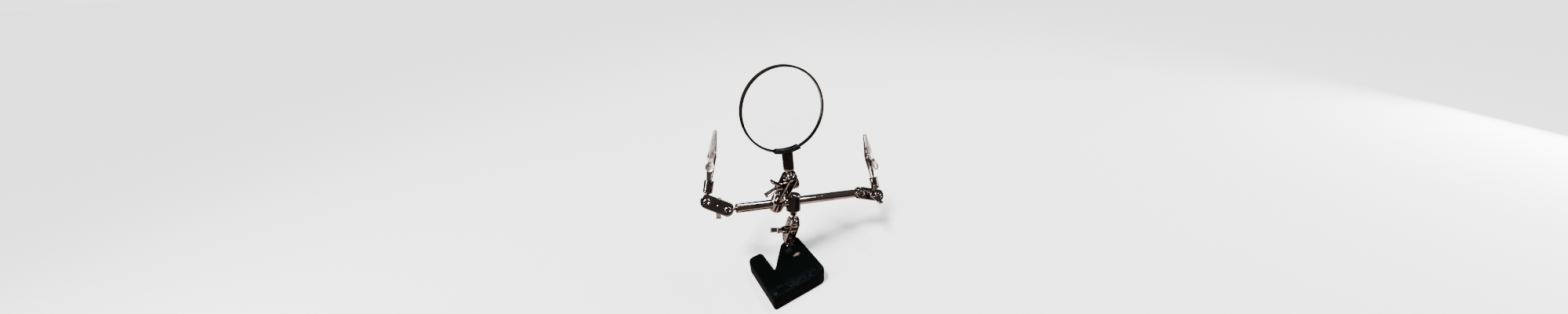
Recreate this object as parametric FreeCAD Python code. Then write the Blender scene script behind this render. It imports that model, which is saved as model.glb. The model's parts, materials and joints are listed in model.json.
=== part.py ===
"""Bench third-hand stand: a notched cast-iron base, a ball-jointed cross bar, two spring clips
and a round magnifier, all held by two-plate ball knuckles with wing screws.

Frame: millimetres, +Z up. The origin is the centre of the base's underside, +X runs along the
base's near edge and +Y points to the edge that holds the notch and the ball stud.
"""
import FreeCAD, Part
import math
import os
from FreeCAD import Vector

# ---------------------------------------------------------------- driving dimensions (mm, degrees)
# Cast base
base_width = 55.0
base_depth = 52.5
base_height = 14.2
base_edge_round = 1.0
near_left_corner_radius = 2.2
near_right_corner_radius = 8.0
far_right_corner_radius = 4.5
far_left_corner_radius = 5.5
arm_width = 15.4              # narrow arm left of the notch
arm_inner_corner_radius = 4.0
notch_depth = 24.4
notch_root_width = 1.2
notch_root_radius = 0.54
lobe_side_angle = 50.0        # slope of the notch's lobe side, from the X axis
lobe_shoulder_radius = 12.0
stud_inset_x = 12.7           # ball stud axis, from the right edge
stud_inset_y = 6.7            # ball stud axis, from the far edge

# Ball joints
ball_radius = 4.5
ball_scale = ball_radius / 4.5    # studs and plates grow and shrink with the ball
ball_seat_clearance = 0.10
neck_radius = 1.65 * ball_scale
running_clearance = 0.05      # radial, shafts that turn or slide in a bore
face_gap = 0.06               # between faces that turn on each other
weld = 0.5                    # how far fused solids run into each other
overcut = 1.0                 # how far a bore's cutter runs past the face it opens
base_ball_height = 10.8       # ball centre above the base's top
base_flange_radius = 3.4 * ball_scale
base_flange_height = 1.6
base_shank_radius = 2.5 * ball_scale
base_shank_length = 9.0
stud_shank_radius = 1.5 * ball_scale
stud_shank_length = 7.0

# Two-plate knuckle
ball_spacing = 19.5
plate_end_wall = 5.0 * ball_scale    # ball centre to a plate's end
plate_length = ball_spacing + 2 * plate_end_wall
plate_width = 11.8 * ball_scale
plate_corner_radius = 5.2 * ball_scale
plate_thickness = 1.3
plate_half_gap = 3.3 * ball_scale    # knuckle mid-plane to a plate's inner face
plate_edge_round = 0.9
plate_window_radius = 2.6 * ball_scale    # round window that shows the ball's dome
plate_window_chamfer = 0.55
screw_radius = 1.5
screw_hole_clearance = 0.10

# Wing screw
hub_radius = 3.7
hub_height = 5.6
hub_round = 2.6
ear_width = 4.6               # strip ears, broad side towards the screw axis
ear_half_thickness = 0.75
ear_root_reach = 1.6          # ear root from the screw axis
ear_root_rise = 2.6           # ear root above the hub's seat
ear_bead_radius = 1.05        # bead along each ear's end
ear_tip_reach = 8.6           # bead centre from the screw axis
ear_tip_rise = 12.0           # bead centre above the hub's seat

# Grooved nut on the magnifier's knuckle
nut_radius = 4.9
nut_length = 5.2
nut_neck_radius = 3.4
nut_neck_length = 1.4
nut_groove_count = 24
nut_groove_depth = 0.35
nut_near_edge = 0.5
nut_far_edge = 0.8

# Cross bar and its clamps
bar_radius = 4.1
bar_wall = 1.0
bar_length = 117.6            # over the end caps
bar_cap_thickness = 1.2
bar_cap_round = 0.6
bar_plug_length = 9.0
bar_neck_length = 7.0         # end cap face to ball centre
stand_clamp_offset = 5.2      # stand clamp from the bar's middle, towards the left end
magnifier_clamp_offset = 20.6
clamp_radius = 6.9
clamp_above_bar = 7.8
clamp_below_bar = 8.8
clamp_dome_round = 2.2
clamp_foot_round = 0.8
clamp_collar_length = 4.6
clamp_collar_top_radius = 4.3
clamp_collar_foot_radius = 2.9
clamp_to_ball = 20.0

# Clip arms
socket_radius = 4.2
socket_neck = 2.2
socket_foot = ball_radius + socket_neck    # from the ball centre
socket_length = 11.6
socket_foot_taper = 1.5
socket_top_edge = 0.4
socket_tail_bore = 2.6
socket_tail_depth = 5.5
clip_stud_shank_radius = 1.9 * ball_scale
clip_stud_shank_length = 5.0
clip_length = 44.2            # socket top to jaw tip
sheet = 0.7                   # spring-clip sheet metal
pivot_from_tip = 23.2
pad_end_from_tip = 36.9
pin_radius = 1.0
pin_head_radius = 1.4
pin_half_length = 4.1
fixed_half_width = 3.5        # outside, at the pivot
lever_side_clearance = 0.15
fixed_tip_half_width = 1.5
lever_tip_half_width = 1.2
jaw_depth = 3.6               # pivot axis to a jaw's back
jaw_tip_depth = 1.3
jaw_gap = 0.08                # each side of the closed bite line
tooth_pitch = 1.5
tooth_height = 0.7
tooth_count = 9
bite_end = 0.6                # plain length between the last tooth and a jaw's tip
tail_gap = 0.3                # under the fixed jaw's tail in the socket
tail_rise = 1.4               # round tail above the socket
tail_cut_depth = 0.4          # the tail is open past this depth on the lever's side
channel_foot_gap = 0.2        # between the socket's top and the channel
shoulder_above_pad_end = 1.5  # where the channel's shoulders are
shoulder_half_width = 3.1
shoulder_rise = 0.5           # channel back, shallower at the shoulder than at its deepest
wall_before_pivot = 3.2       # full-width stretch of the fixed jaw's walls
wall_after_pivot = 3.0
cheek_half_length = 1.6       # raised cheeks that hold the pin
cheek_depth = 1.7
wall_depths = (0.2, 0.6, 0.9, 0.3)   # open edge at the foot, shoulder, and ends of the walls
bite_run_in = 1.5             # from the walls' end to the first tooth's root depth
lever_wall_before_pivot = 1.9
lever_wall_after_pivot = 3.4
lever_cheek_half_length = 1.5
lever_cheek_depth = 1.4
lever_heel = 2.0              # bend behind the pivot, where the lever starts to rise
lever_heel_lift = 0.3
pad_end_rise = 0.2
pad_radius = 4.0
pad_lift = 6.3
spring_coil_radius = 2.1
spring_wire_radius = 0.35
spring_turns = 4
spring_bore_clearance = 0.12
spring_groove = 0.2           # between the coil's turns
spring_leg_lift = 0.6         # leg's end above the fixed jaw's back
spring_leg_end = 3.0          # leg's end above the pad's end

# Magnifier
rim_radius = 33.7
rim_thickness = 1.8
rim_width = 4.6
rim_groove_depth = 0.7
rim_edge = 0.5
lens_edge_thickness = 2.2
lens_centre_thickness = 6.4
lens_lip_gap = 0.1
saddle_half_angle = 18.5
saddle_wrap = 3.0             # how far it reaches in from the rim's outside
saddle_outside = 1.1
saddle_cheek = 1.1
stem_radius = 4.5
stem_length = 15.6
stem_edge = 1.3
stem_neck_gap = 6.6           # stem foot to the ball centre

# Stored position of the stand: azimuth from +X towards +Y and elevation of each direction
base_knuckle_direction = (-30.0, 72.5)
base_plate_normal = (168.5, 10.5)
stand_clamp_direction = (55.0, 68.0)
bar_direction = (-11.5, -10.2)
magnifier_clamp_direction = (-93.5, 65.5)
magnifier_knuckle_direction = (-57.5, 65.0)
magnifier_plate_normal = (-177.5, 13.3)
magnifier_stem_direction = (69.5, 80.3)
lens_normal_direction = (-99.0, 9.5)
left_knuckle_direction = (137.5, 21.0)
left_plate_normal = (-103.2, 45.7)
left_clip_direction = (45.5, 51.5)
left_lever_direction = (-107.0, 49.0)
right_knuckle_direction = (-20.7, -20.7)
right_plate_normal = (-97.5, 35.0)
right_clip_direction = (74.7, 57.1)
right_lever_direction = (-73.5, 30.5)
base_ear_direction = (89.4, -36.4)
magnifier_ear_direction = (-55.1, 66.6)
left_ear_direction = (-122.8, -49.8)
right_ear_direction = (90.2, 54.4)

# ---------------------------------------------------------------- derived sizes
seat_height = plate_half_gap + plate_thickness
base_top_ball = Vector(base_width / 2 - stud_inset_x, base_depth / 2 - stud_inset_y,
                       base_height + base_ball_height)
bore_radius = bar_radius + running_clearance
tube_inner_radius = bar_radius - bar_wall
clip_tip = socket_foot + socket_length + clip_length
pivot_height = clip_tip - pivot_from_tip
pad_end_height = clip_tip - pad_end_from_tip
socket_top = socket_foot + socket_length
lens_to_ball = rim_radius + saddle_outside + stem_length + stem_neck_gap

os.makedirs("parts", exist_ok=True)


# ---------------------------------------------------------------- geometry helpers
def heading(angles):
    """Unit vector from an azimuth and an elevation in degrees."""
    azimuth = math.radians(angles[0])
    elevation = math.radians(angles[1])
    flat = math.cos(elevation)
    return Vector(flat * math.cos(azimuth), flat * math.sin(azimuth), math.sin(elevation))


def square_to(direction, axis):
    """The part of a direction that is at right angles to an axis, as a unit vector."""
    flat = direction - axis * direction.dot(axis)
    flat.normalize()
    return flat


def place(shape, origin, z_axis, x_axis):
    """A copy of a shape moved from its own frame: its Z along z_axis, its X nearest x_axis."""
    x_dir = square_to(x_axis, z_axis)
    y_dir = z_axis.cross(x_dir)
    matrix = FreeCAD.Matrix(x_dir.x, y_dir.x, z_axis.x, origin.x,
                            x_dir.y, y_dir.y, z_axis.y, origin.y,
                            x_dir.z, y_dir.z, z_axis.z, origin.z,
                            0, 0, 0, 1)
    moved = shape.copy()
    moved.Placement = FreeCAD.Placement(matrix).multiply(shape.Placement)
    return moved


def save(shape, name):
    """Write one node as a STEP file."""
    shape.exportStep("parts/" + name + ".step")


def cylinder(radius, foot, length, direction=Vector(0, 0, 1)):
    """Cylinder from its foot point along a direction."""
    return Part.makeCylinder(radius, length, foot, direction)


def up(height):
    """Point on the Z axis."""
    return Vector(0, 0, height)


def revolved(profile):
    """Solid of revolution about Z from (radius, height) points, straight edges between them."""
    points = [Vector(radius, 0, height) for radius, height in profile]
    face = Part.Face(Part.makePolygon(points + points[:1]))
    return face.revolve(Vector(0, 0, 0), Vector(0, 0, 1), 360)


def rounded_outline(corners, height):
    """Prism over a polygon of (x, y, corner radius) points, each corner a tangent arc."""
    edges = []
    count = len(corners)
    starts = []
    ends = []
    middles = []
    for index, (x, y, radius) in enumerate(corners):
        here = Vector(x, y, 0)
        before = Vector(*corners[index - 1][:2], 0)
        after = Vector(*corners[(index + 1) % count][:2], 0)
        to_before = (before - here).normalize()
        to_after = (after - here).normalize()
        half = to_before.getAngle(to_after) / 2
        reach = radius / math.tan(half)
        bisector = (to_before + to_after).normalize()
        centre = here + bisector * (radius / math.sin(half))
        starts.append(here + to_before * reach)
        ends.append(here + to_after * reach)
        middles.append(centre - bisector * radius)
    for index in range(count):
        edges.append(Part.Arc(starts[index], middles[index], ends[index]).toShape())
        edges.append(Part.LineSegment(ends[index], starts[(index + 1) % count]).toShape())
    return Part.Face(Part.Wire(edges)).extrude(up(height))


def strip_link(first, second, half_thickness, width):
    """Strip between two points of the XZ plane, round-ended, its width along Y."""
    along = second - first
    along.normalize()
    across = Vector(-along.z, 0, along.x) * half_thickness
    reach = along * half_thickness
    edges = [
        Part.LineSegment(first + across, second + across).toShape(),
        Part.Arc(second + across, second + reach, second - across).toShape(),
        Part.LineSegment(second - across, first - across).toShape(),
        Part.Arc(first - across, first - reach, first + across).toShape(),
    ]
    face = Part.Face(Part.Wire(edges))
    face.translate(Vector(0, -width / 2, 0))
    return face.extrude(Vector(0, width, 0))


def edges_at_height(shape, height):
    """Edges that lie wholly in one horizontal plane."""
    found = []
    for edge in shape.Edges:
        box = edge.BoundBox
        if abs(box.ZMin - height) < 1e-4 and abs(box.ZMax - height) < 1e-4:
            found.append(edge)
    return found


# ---------------------------------------------------------------- parts, each in its own frame
def make_base():
    """Cast plate with a V notch in its far edge and a bore for the ball stud."""
    right = base_width / 2
    far = base_depth / 2
    arm_edge = -right + arm_width
    root_y = far - notch_depth
    slope = math.tan(math.radians(lobe_side_angle))
    lobe_edge = arm_edge + notch_root_width + notch_depth / slope
    plate = rounded_outline([
        (-right, -far, near_left_corner_radius),
        (right, -far, near_right_corner_radius),
        (right, far, far_right_corner_radius),
        (lobe_edge, far, lobe_shoulder_radius),
        (arm_edge + notch_root_width, root_y, notch_root_radius),
        (arm_edge, root_y, notch_root_radius),
        (arm_edge, far, arm_inner_corner_radius),
        (-right, far, far_left_corner_radius),
    ], base_height)
    plate = plate.makeFillet(base_edge_round, edges_at_height(plate, base_height))
    bore_foot = Vector(base_top_ball.x, base_top_ball.y, base_height - base_shank_length - face_gap)
    bore = cylinder(base_shank_radius + running_clearance, bore_foot, base_height)
    return plate.cut(bore)


def make_base_stud():
    """Ball, neck, flange and plain shank, with the ball centre at the origin and +Z down."""
    flange_top = base_ball_height - face_gap - base_flange_height
    shape = Part.makeSphere(ball_radius)
    shape = shape.fuse(cylinder(neck_radius, up(0), flange_top + weld))
    shape = shape.fuse(cylinder(base_flange_radius, up(flange_top), base_flange_height))
    shank_top = flange_top + base_flange_height
    shape = shape.fuse(cylinder(base_shank_radius, up(shank_top), base_shank_length))
    return shape.removeSplitter()


def make_stud(neck_length, shank_radius, shank_length):
    """Ball at the origin with a neck and a plain shank along +Z."""
    shape = Part.makeSphere(ball_radius)
    shape = shape.fuse(cylinder(neck_radius, up(0), neck_length - face_gap))
    shape = shape.fuse(cylinder(shank_radius, up(neck_length - face_gap - weld), shank_length + weld))
    return shape.removeSplitter()


def make_bar_stud():
    """Ball and neck on a capped plug that turns in the end of the tube."""
    shape = Part.makeSphere(ball_radius)
    shape = shape.fuse(cylinder(neck_radius, up(0), bar_neck_length + weld))
    cap = cylinder(bar_radius, up(bar_neck_length), bar_cap_thickness)
    cap = cap.makeFillet(bar_cap_round, edges_at_height(cap, bar_neck_length))
    plug_radius = tube_inner_radius - running_clearance
    plug = cylinder(plug_radius, up(bar_neck_length), bar_cap_thickness + bar_plug_length)
    return shape.fuse([cap, plug]).removeSplitter()


def make_plate():
    """One knuckle plate: X along the knuckle, its inner face up the +Z side of the mid-plane."""
    half_length = plate_length / 2
    half_width = plate_width / 2
    corners = []
    for x_side, y_side in ((-1, -1), (1, -1), (1, 1), (-1, 1)):
        corners.append((x_side * half_length, y_side * half_width, plate_corner_radius))
    plate = rounded_outline(corners, plate_thickness)
    plate = plate.makeFillet(plate_edge_round, edges_at_height(plate, plate_thickness))
    plate.translate(up(plate_half_gap))
    cutters = [cylinder(screw_radius + screw_hole_clearance, up(0), 2 * seat_height)]
    for side in (-1, 1):
        centre = Vector(side * ball_spacing / 2, 0, 0)
        cutters.append(Part.makeSphere(ball_radius + ball_seat_clearance, centre))
        cutters.append(cylinder(plate_window_radius, centre, 2 * seat_height))
        cone_foot = centre + up(seat_height - plate_window_chamfer)
        cutters.append(Part.makeCone(plate_window_radius, plate_window_radius + plate_window_chamfer,
                                     plate_window_chamfer, cone_foot))
    return plate.cut(cutters)


def make_wing_screw(shank_end):
    """Wing screw along Z: beaded strip ears on a domed hub, and a shank down to shank_end."""
    seat = seat_height + face_gap
    hub = cylinder(hub_radius, up(seat), hub_height)
    hub = hub.makeFillet(hub_round, edges_at_height(hub, seat + hub_height))
    shape = hub.fuse(cylinder(screw_radius, up(shank_end), seat + weld - shank_end))
    for side in (-1, 1):
        root = Vector(side * ear_root_reach, 0, seat + ear_root_rise)
        tip = Vector(side * ear_tip_reach, 0, seat + ear_tip_rise)
        shape = shape.fuse(strip_link(root, tip, ear_half_thickness, ear_width))
        bead_foot = Vector(tip.x, -ear_width / 2, tip.z)
        shape = shape.fuse(cylinder(ear_bead_radius, bead_foot, ear_width, Vector(0, 1, 0)))
    return shape.removeSplitter()


def make_nut():
    """Round grooved nut under the far plate, with a plain neck towards the plate."""
    top = -seat_height
    bore = screw_radius + screw_hole_clearance
    foot = top - nut_neck_length - nut_length
    body = revolved([
        (bore, top), (nut_neck_radius, top), (nut_neck_radius, top - nut_neck_length),
        (nut_radius - nut_near_edge, top - nut_neck_length),
        (nut_radius, top - nut_neck_length - nut_near_edge),
        (nut_radius, foot + nut_far_edge), (nut_radius - nut_far_edge, foot), (bore, foot),
    ])
    grooves = []
    for index in range(nut_groove_count):
        angle = 2 * math.pi * index / nut_groove_count
        spot = Vector(nut_radius * math.cos(angle), nut_radius * math.sin(angle), foot - overcut)
        grooves.append(cylinder(nut_groove_depth, spot, nut_length + overcut))
    return body.cut(grooves)


def make_clamp():
    """Bar clamp: bar bore along X through the origin, collar and stud bore towards -Z."""
    body = cylinder(clamp_radius, up(-clamp_below_bar), clamp_below_bar + clamp_above_bar)
    body = body.makeFillet(clamp_dome_round, edges_at_height(body, clamp_above_bar))
    body = body.makeFillet(clamp_foot_round, edges_at_height(body, -clamp_below_bar))
    foot = -clamp_below_bar - clamp_collar_length
    collar = Part.makeCone(clamp_collar_foot_radius, clamp_collar_top_radius,
                           clamp_collar_length, up(foot))
    neck = cylinder(clamp_collar_top_radius, up(-clamp_below_bar), weld)
    bar_bore = cylinder(bore_radius, Vector(-2 * clamp_radius, 0, 0), 4 * clamp_radius,
                        Vector(1, 0, 0))
    stud_bore = cylinder(stud_shank_radius + running_clearance, up(foot - overcut),
                         stud_shank_length + overcut + face_gap)
    return body.fuse([collar, neck]).removeSplitter().cut([bar_bore, stud_bore])


def make_bar():
    """Plain tube between the two end caps, centred on its own middle along Z."""
    length = bar_length - 2 * (bar_cap_thickness + face_gap)
    tube = cylinder(bar_radius, up(-length / 2), length)
    return tube.cut(cylinder(tube_inner_radius, up(-length / 2 - overcut), length + 2 * overcut))


def make_socket():
    """Turned socket: the clip stud turns in its foot and the clip's tail sits in its top."""
    body = revolved([
        (0, socket_foot), (socket_radius - socket_foot_taper, socket_foot),
        (socket_radius, socket_foot + socket_foot_taper),
        (socket_radius, socket_top - socket_top_edge),
        (socket_radius - socket_top_edge, socket_top), (0, socket_top),
    ])
    stud_bore = cylinder(clip_stud_shank_radius + running_clearance, up(socket_foot - overcut),
                         clip_stud_shank_length + overcut + face_gap)
    tail_bore = cylinder(socket_tail_bore, up(socket_top - socket_tail_depth),
                         socket_tail_depth + overcut)
    return body.cut([stud_bore, tail_bore])


def side_prism(points, half_width):
    """Prism over (height, depth) points: height is Z and depth is X, centred on Y = 0."""
    outline = [Vector(depth, -half_width, height) for height, depth in points]
    return Part.Face(Part.makePolygon(outline + outline[:1])).extrude(Vector(0, 2 * half_width, 0))


def plan_prism(stations, half_depth):
    """Prism over (height, half width) stations, mirrored in Y, centred on X = 0."""
    outline = [Vector(-half_depth, half, height) for height, half in stations]
    outline += [Vector(-half_depth, -half, height) for height, half in reversed(stations)]
    return Part.Face(Part.makePolygon(outline + outline[:1])).extrude(Vector(2 * half_depth, 0, 0))


def bite_line(side):
    """Toothed edge of a jaw, from its rear tooth to its tip: side is -1 fixed, 1 lever."""
    points = []
    start = clip_tip - tooth_pitch * tooth_count - bite_end
    for index in range(tooth_count):
        root = start + tooth_pitch * index
        points.append((root, side * (jaw_gap + tooth_height)))
        points.append((root + tooth_pitch / 2, side * jaw_gap))
    points.append((start + tooth_pitch * tooth_count, side * (jaw_gap + tooth_height)))
    points.append((clip_tip, side * jaw_gap))
    return points


def make_fixed_jaw():
    """Pressed channel jaw with a round tail, its open side towards +X (the lever's side)."""
    channel_foot = socket_top + channel_foot_gap
    pocket_foot = socket_top - overcut
    shoulder = pad_end_height + shoulder_above_pad_end
    wall_start = pivot_height - wall_before_pivot
    wall_end = pivot_height + wall_after_pivot
    back = [
        (clip_tip, -jaw_tip_depth), (wall_end, -jaw_depth), (wall_start, -jaw_depth),
        (shoulder, -jaw_depth + shoulder_rise), (channel_foot, -socket_tail_bore),
    ]
    open_side = [
        (channel_foot, wall_depths[0]), (shoulder, wall_depths[1]), (wall_start, wall_depths[2]),
        (pivot_height - cheek_half_length, cheek_depth),
        (pivot_height + cheek_half_length, cheek_depth), (wall_end, wall_depths[3]),
        (wall_end + bite_run_in, -jaw_gap - tooth_height),
    ]
    stations = [
        (channel_foot, socket_tail_bore - running_clearance), (shoulder, shoulder_half_width),
        (wall_start, fixed_half_width), (wall_end, fixed_half_width), (clip_tip, fixed_tip_half_width),
    ]
    inner_stations = [(height, half - sheet) for height, half in stations]
    inner_stations[0] = (pocket_foot, inner_stations[0][1])
    inner_back = [(clip_tip - sheet, -jaw_tip_depth + sheet)]
    inner_back += [(height, depth + sheet) for height, depth in back[1:4]]
    inner_back += [(pocket_foot, -socket_tail_bore + sheet)]
    inner_open = [(pocket_foot, 2 * jaw_depth), (clip_tip - sheet, 2 * jaw_depth)]
    outer = side_prism(back + open_side + bite_line(-1), 2 * fixed_half_width)
    outer = outer.common(plan_prism(stations, 2 * jaw_depth))
    pocket = side_prism(inner_back + inner_open, fixed_half_width)
    pocket = pocket.common(plan_prism(inner_stations, 3 * jaw_depth))
    tail = cylinder(socket_tail_bore, up(socket_top - socket_tail_depth + tail_gap),
                    socket_tail_depth - tail_gap + tail_rise)
    tail_side = Part.makeBox(2 * socket_radius, 2 * socket_radius, clip_tip,
                             Vector(tail_cut_depth - 2 * socket_radius, -socket_radius, 0))
    tail = tail.common(tail_side).cut(cylinder(socket_tail_bore - sheet, up(0), clip_tip))
    jaw = outer.cut(pocket).fuse(tail)
    pin_bore = cylinder(pin_radius, Vector(0, -2 * fixed_half_width, pivot_height),
                        4 * fixed_half_width, Vector(0, 1, 0))
    return jaw.cut(pin_bore).removeSplitter()


def make_lever_jaw():
    """Pressed lever jaw: toothed channel in front of the pivot, a round thumb pad behind it."""
    half_width = fixed_half_width - sheet - lever_side_clearance
    wall_start = pivot_height - lever_wall_before_pivot
    wall_end = pivot_height + lever_wall_after_pivot
    heel = pivot_height - lever_heel
    pad_centre = pad_end_height + pad_radius
    pocket_foot = pad_end_height - 2 * overcut
    back = [
        (clip_tip, jaw_tip_depth), (wall_end, jaw_depth), (heel, jaw_depth + lever_heel_lift),
        (pad_centre, pad_lift), (pad_end_height - overcut, pad_lift + pad_end_rise),
    ]
    under = [(height, depth - sheet) for height, depth in reversed(back[2:])]
    inner_back = [
        (clip_tip - sheet, jaw_tip_depth - sheet), (wall_end, jaw_depth - sheet),
        (heel, jaw_depth + lever_heel_lift - sheet), (pocket_foot, pad_lift - sheet),
    ]
    inner_open = [(pocket_foot, -2 * jaw_depth), (clip_tip - sheet, -2 * jaw_depth)]
    cheeks = [
        (wall_start, jaw_depth - sheet), (pivot_height - lever_cheek_half_length, -lever_cheek_depth),
        (pivot_height + lever_cheek_half_length, -lever_cheek_depth),
        (wall_end + bite_end, jaw_gap + tooth_height),
    ]
    outer = side_prism(back + under + cheeks + bite_line(1), 2 * pad_radius)
    stations = [
        (pad_centre - overcut, half_width), (pivot_height, half_width), (wall_end, half_width),
        (clip_tip, lever_tip_half_width),
    ]
    plan = plan_prism(stations, 3 * pad_radius)
    pad_axis_foot = Vector(-3 * pad_radius, 0, pad_centre)
    plan = plan.fuse(cylinder(pad_radius, pad_axis_foot, 6 * pad_radius, Vector(1, 0, 0)))
    inner_stations = [(height, half - sheet) for height, half in stations]
    pocket = side_prism(inner_back + inner_open, half_width)
    pocket = pocket.common(plan_prism(inner_stations, 3 * pad_radius))
    jaw = outer.common(plan).cut(pocket)
    bore = cylinder(pin_radius + running_clearance, Vector(0, -2 * half_width, pivot_height),
                    4 * half_width, Vector(0, 1, 0))
    return jaw.cut(bore).removeSplitter()


def make_pivot_pin():
    """Headed pivot pin of a clip, along Y."""
    foot = Vector(0, -pin_half_length, pivot_height)
    head_length = pin_half_length - fixed_half_width
    pin = cylinder(pin_radius, foot, 2 * pin_half_length, Vector(0, 1, 0))
    heads = []
    for side in (-1, 1):
        spot = Vector(0, side * fixed_half_width, pivot_height)
        heads.append(cylinder(pin_head_radius, spot, head_length, Vector(0, side, 0)))
    return pin.fuse(heads).removeSplitter()


def make_clip_spring():
    """Torsion spring round the pivot pin: close-wound coil and the leg on the fixed jaw."""
    inner = pin_radius + spring_bore_clearance
    pitch = 2 * spring_wire_radius
    foot = -pitch * spring_turns / 2
    outline = [(inner, foot)]
    for index in range(spring_turns):
        outline.append((spring_coil_radius - spring_groove, foot + pitch * index))
        outline.append((spring_coil_radius, foot + pitch * (index + 0.5)))
    outline += [(spring_coil_radius - spring_groove, -foot), (inner, -foot)]
    coil = place(revolved(outline), up(pivot_height), Vector(0, 1, 0), Vector(1, 0, 0))
    start = Vector(-spring_coil_radius + 2 * spring_wire_radius, 0, pivot_height)
    end = Vector(-jaw_depth + sheet + spring_leg_lift + spring_wire_radius, 0,
                 pad_end_height + spring_leg_end)
    leg = cylinder(spring_wire_radius, start, (end - start).Length, end - start)
    return coil.fuse(leg).removeSplitter()


def make_lens_rim():
    """Rim with an inner groove for the glass, its axis along Z."""
    inside = rim_radius - rim_thickness
    groove = inside + rim_groove_depth
    half = rim_width / 2
    seat = lens_edge_thickness / 2
    return revolved([
        (inside, -half + rim_edge), (inside + rim_edge, -half), (rim_radius - rim_edge, -half),
        (rim_radius, -half + rim_edge), (rim_radius, half - rim_edge), (rim_radius - rim_edge, half),
        (inside + rim_edge, half), (inside, half - rim_edge), (inside, seat), (groove, seat),
        (groove, -seat), (inside, -seat),
    ])


def make_lens():
    """Double-convex glass that fills the rim's groove."""
    radius = rim_radius - rim_thickness + rim_groove_depth
    half_edge = lens_edge_thickness / 2
    half_centre = lens_centre_thickness / 2
    sag = half_centre - half_edge
    clear = rim_radius - rim_thickness - lens_lip_gap
    curve_radius = (clear * clear + sag * sag) / (2 * sag)
    mid_angle = math.asin(clear / curve_radius) / 2
    mid = (curve_radius * math.sin(mid_angle),
           half_centre - curve_radius * (1 - math.cos(mid_angle)))
    corners = [Vector(0, 0, half_centre), Vector(clear, 0, half_edge),
               Vector(clear, 0, -half_edge), Vector(0, 0, -half_centre)]
    rim_corners = [Vector(radius, 0, half_edge), Vector(radius, 0, -half_edge)]
    edges = [
        Part.Arc(corners[0], Vector(mid[0], 0, mid[1]), corners[1]).toShape(),
        Part.LineSegment(corners[1], rim_corners[0]).toShape(),
        Part.LineSegment(rim_corners[0], rim_corners[1]).toShape(),
        Part.LineSegment(rim_corners[1], corners[2]).toShape(),
        Part.Arc(corners[2], Vector(mid[0], 0, -mid[1]), corners[3]).toShape(),
        Part.LineSegment(corners[3], corners[0]).toShape(),
    ]
    return Part.Face(Part.Wire(edges)).revolve(Vector(0, 0, 0), Vector(0, 0, 1), 360)


def make_saddle():
    """Bracket wrapped round the rim at the stem, in the rim's frame with the stem along +X."""
    inside = rim_radius - saddle_wrap
    outside = rim_radius + saddle_outside
    half = rim_width / 2 + saddle_cheek
    block = [Vector(inside, 0, -half), Vector(outside, 0, -half), Vector(outside, 0, half),
             Vector(inside, 0, half)]
    face = Part.Face(Part.makePolygon(block + block[:1]))
    face.rotate(Vector(0, 0, 0), Vector(0, 0, 1), -saddle_half_angle)
    sector = face.revolve(Vector(0, 0, 0), Vector(0, 0, 1), 2 * saddle_half_angle)
    half_rim = rim_width / 2
    slot = Part.makeCylinder(rim_radius, rim_width, up(-half_rim))
    return sector.cut(slot)


def make_stem():
    """Round stem from the saddle to the knuckle, in the rim's frame along +X."""
    start = rim_radius + saddle_outside
    reach = 2 * stem_radius
    stem = cylinder(stem_radius, Vector(start - reach, 0, 0), reach + stem_length, Vector(1, 0, 0))
    saddle_drum = Part.makeCylinder(start, 4 * stem_radius, up(-2 * stem_radius))
    stem = stem.cut(saddle_drum)
    bore_depth = stud_shank_length + face_gap
    foot = start + stem_length
    bore = cylinder(stud_shank_radius + running_clearance, Vector(foot - bore_depth, 0, 0),
                    bore_depth + overcut, Vector(1, 0, 0))
    trim_radius = stem_radius + running_clearance
    trimmer = revolved([
        (0, foot), (stem_radius - stem_edge, foot), (trim_radius, foot - stem_edge),
        (trim_radius, 0), (0, 0),
    ])
    trimmer = place(trimmer, Vector(0, 0, 0), Vector(1, 0, 0), Vector(0, 0, 1))
    return stem.common(trimmer).cut(bore)


# ---------------------------------------------------------------- where everything stands
base_ball = base_top_ball
base_normal = square_to(heading(base_plate_normal), heading(base_knuckle_direction))
stand_ball = base_ball + heading(base_knuckle_direction) * ball_spacing
bar_axis = heading(bar_direction)
stand_axis = square_to(heading(stand_clamp_direction), bar_axis)
stand_cross = stand_ball + stand_axis * clamp_to_ball
bar_middle = stand_cross + bar_axis * stand_clamp_offset
magnifier_cross = bar_middle - bar_axis * magnifier_clamp_offset
magnifier_axis = square_to(heading(magnifier_clamp_direction), bar_axis)
clamp_ball = magnifier_cross + magnifier_axis * clamp_to_ball
magnifier_link = heading(magnifier_knuckle_direction)
magnifier_normal = square_to(heading(magnifier_plate_normal), magnifier_link)
stem_ball = clamp_ball + magnifier_link * ball_spacing
stem_axis = heading(magnifier_stem_direction)
lens_centre = stem_ball + stem_axis * lens_to_ball
lens_normal = square_to(heading(lens_normal_direction), stem_axis)
end_reach = bar_length / 2 + bar_neck_length
arms = {}
for side, sign, link, normal, clip, lever, ear in (
        ("left", -1, left_knuckle_direction, left_plate_normal, left_clip_direction,
         left_lever_direction, left_ear_direction),
        ("right", 1, right_knuckle_direction, right_plate_normal, right_clip_direction,
         right_lever_direction, right_ear_direction)):
    bar_ball = bar_middle + bar_axis * (sign * end_reach)
    link_axis = heading(link)
    clip_axis = heading(clip)
    arms[side] = {
        "outward": bar_axis * sign,
        "bar_ball": bar_ball,
        "clip_ball": bar_ball + link_axis * ball_spacing,
        "link": link_axis,
        "normal": square_to(heading(normal), link_axis),
        "clip_axis": clip_axis,
        "lever": square_to(heading(lever), clip_axis),
        "ear": heading(ear),
        "screw_side": -1 if side == "left" else 1,
    }


def save_knuckle(names, first_ball, link, normal, ear, screw_end):
    """Both plates and the wing screw of a knuckle, the screw's head on the +normal side."""
    middle = first_ball + link * (ball_spacing / 2)
    save(place(make_plate(), middle, normal, link), names[0])
    save(place(make_plate(), middle, normal * -1, link), names[1])
    save(place(make_wing_screw(screw_end), middle, normal, ear), names[2])


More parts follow.
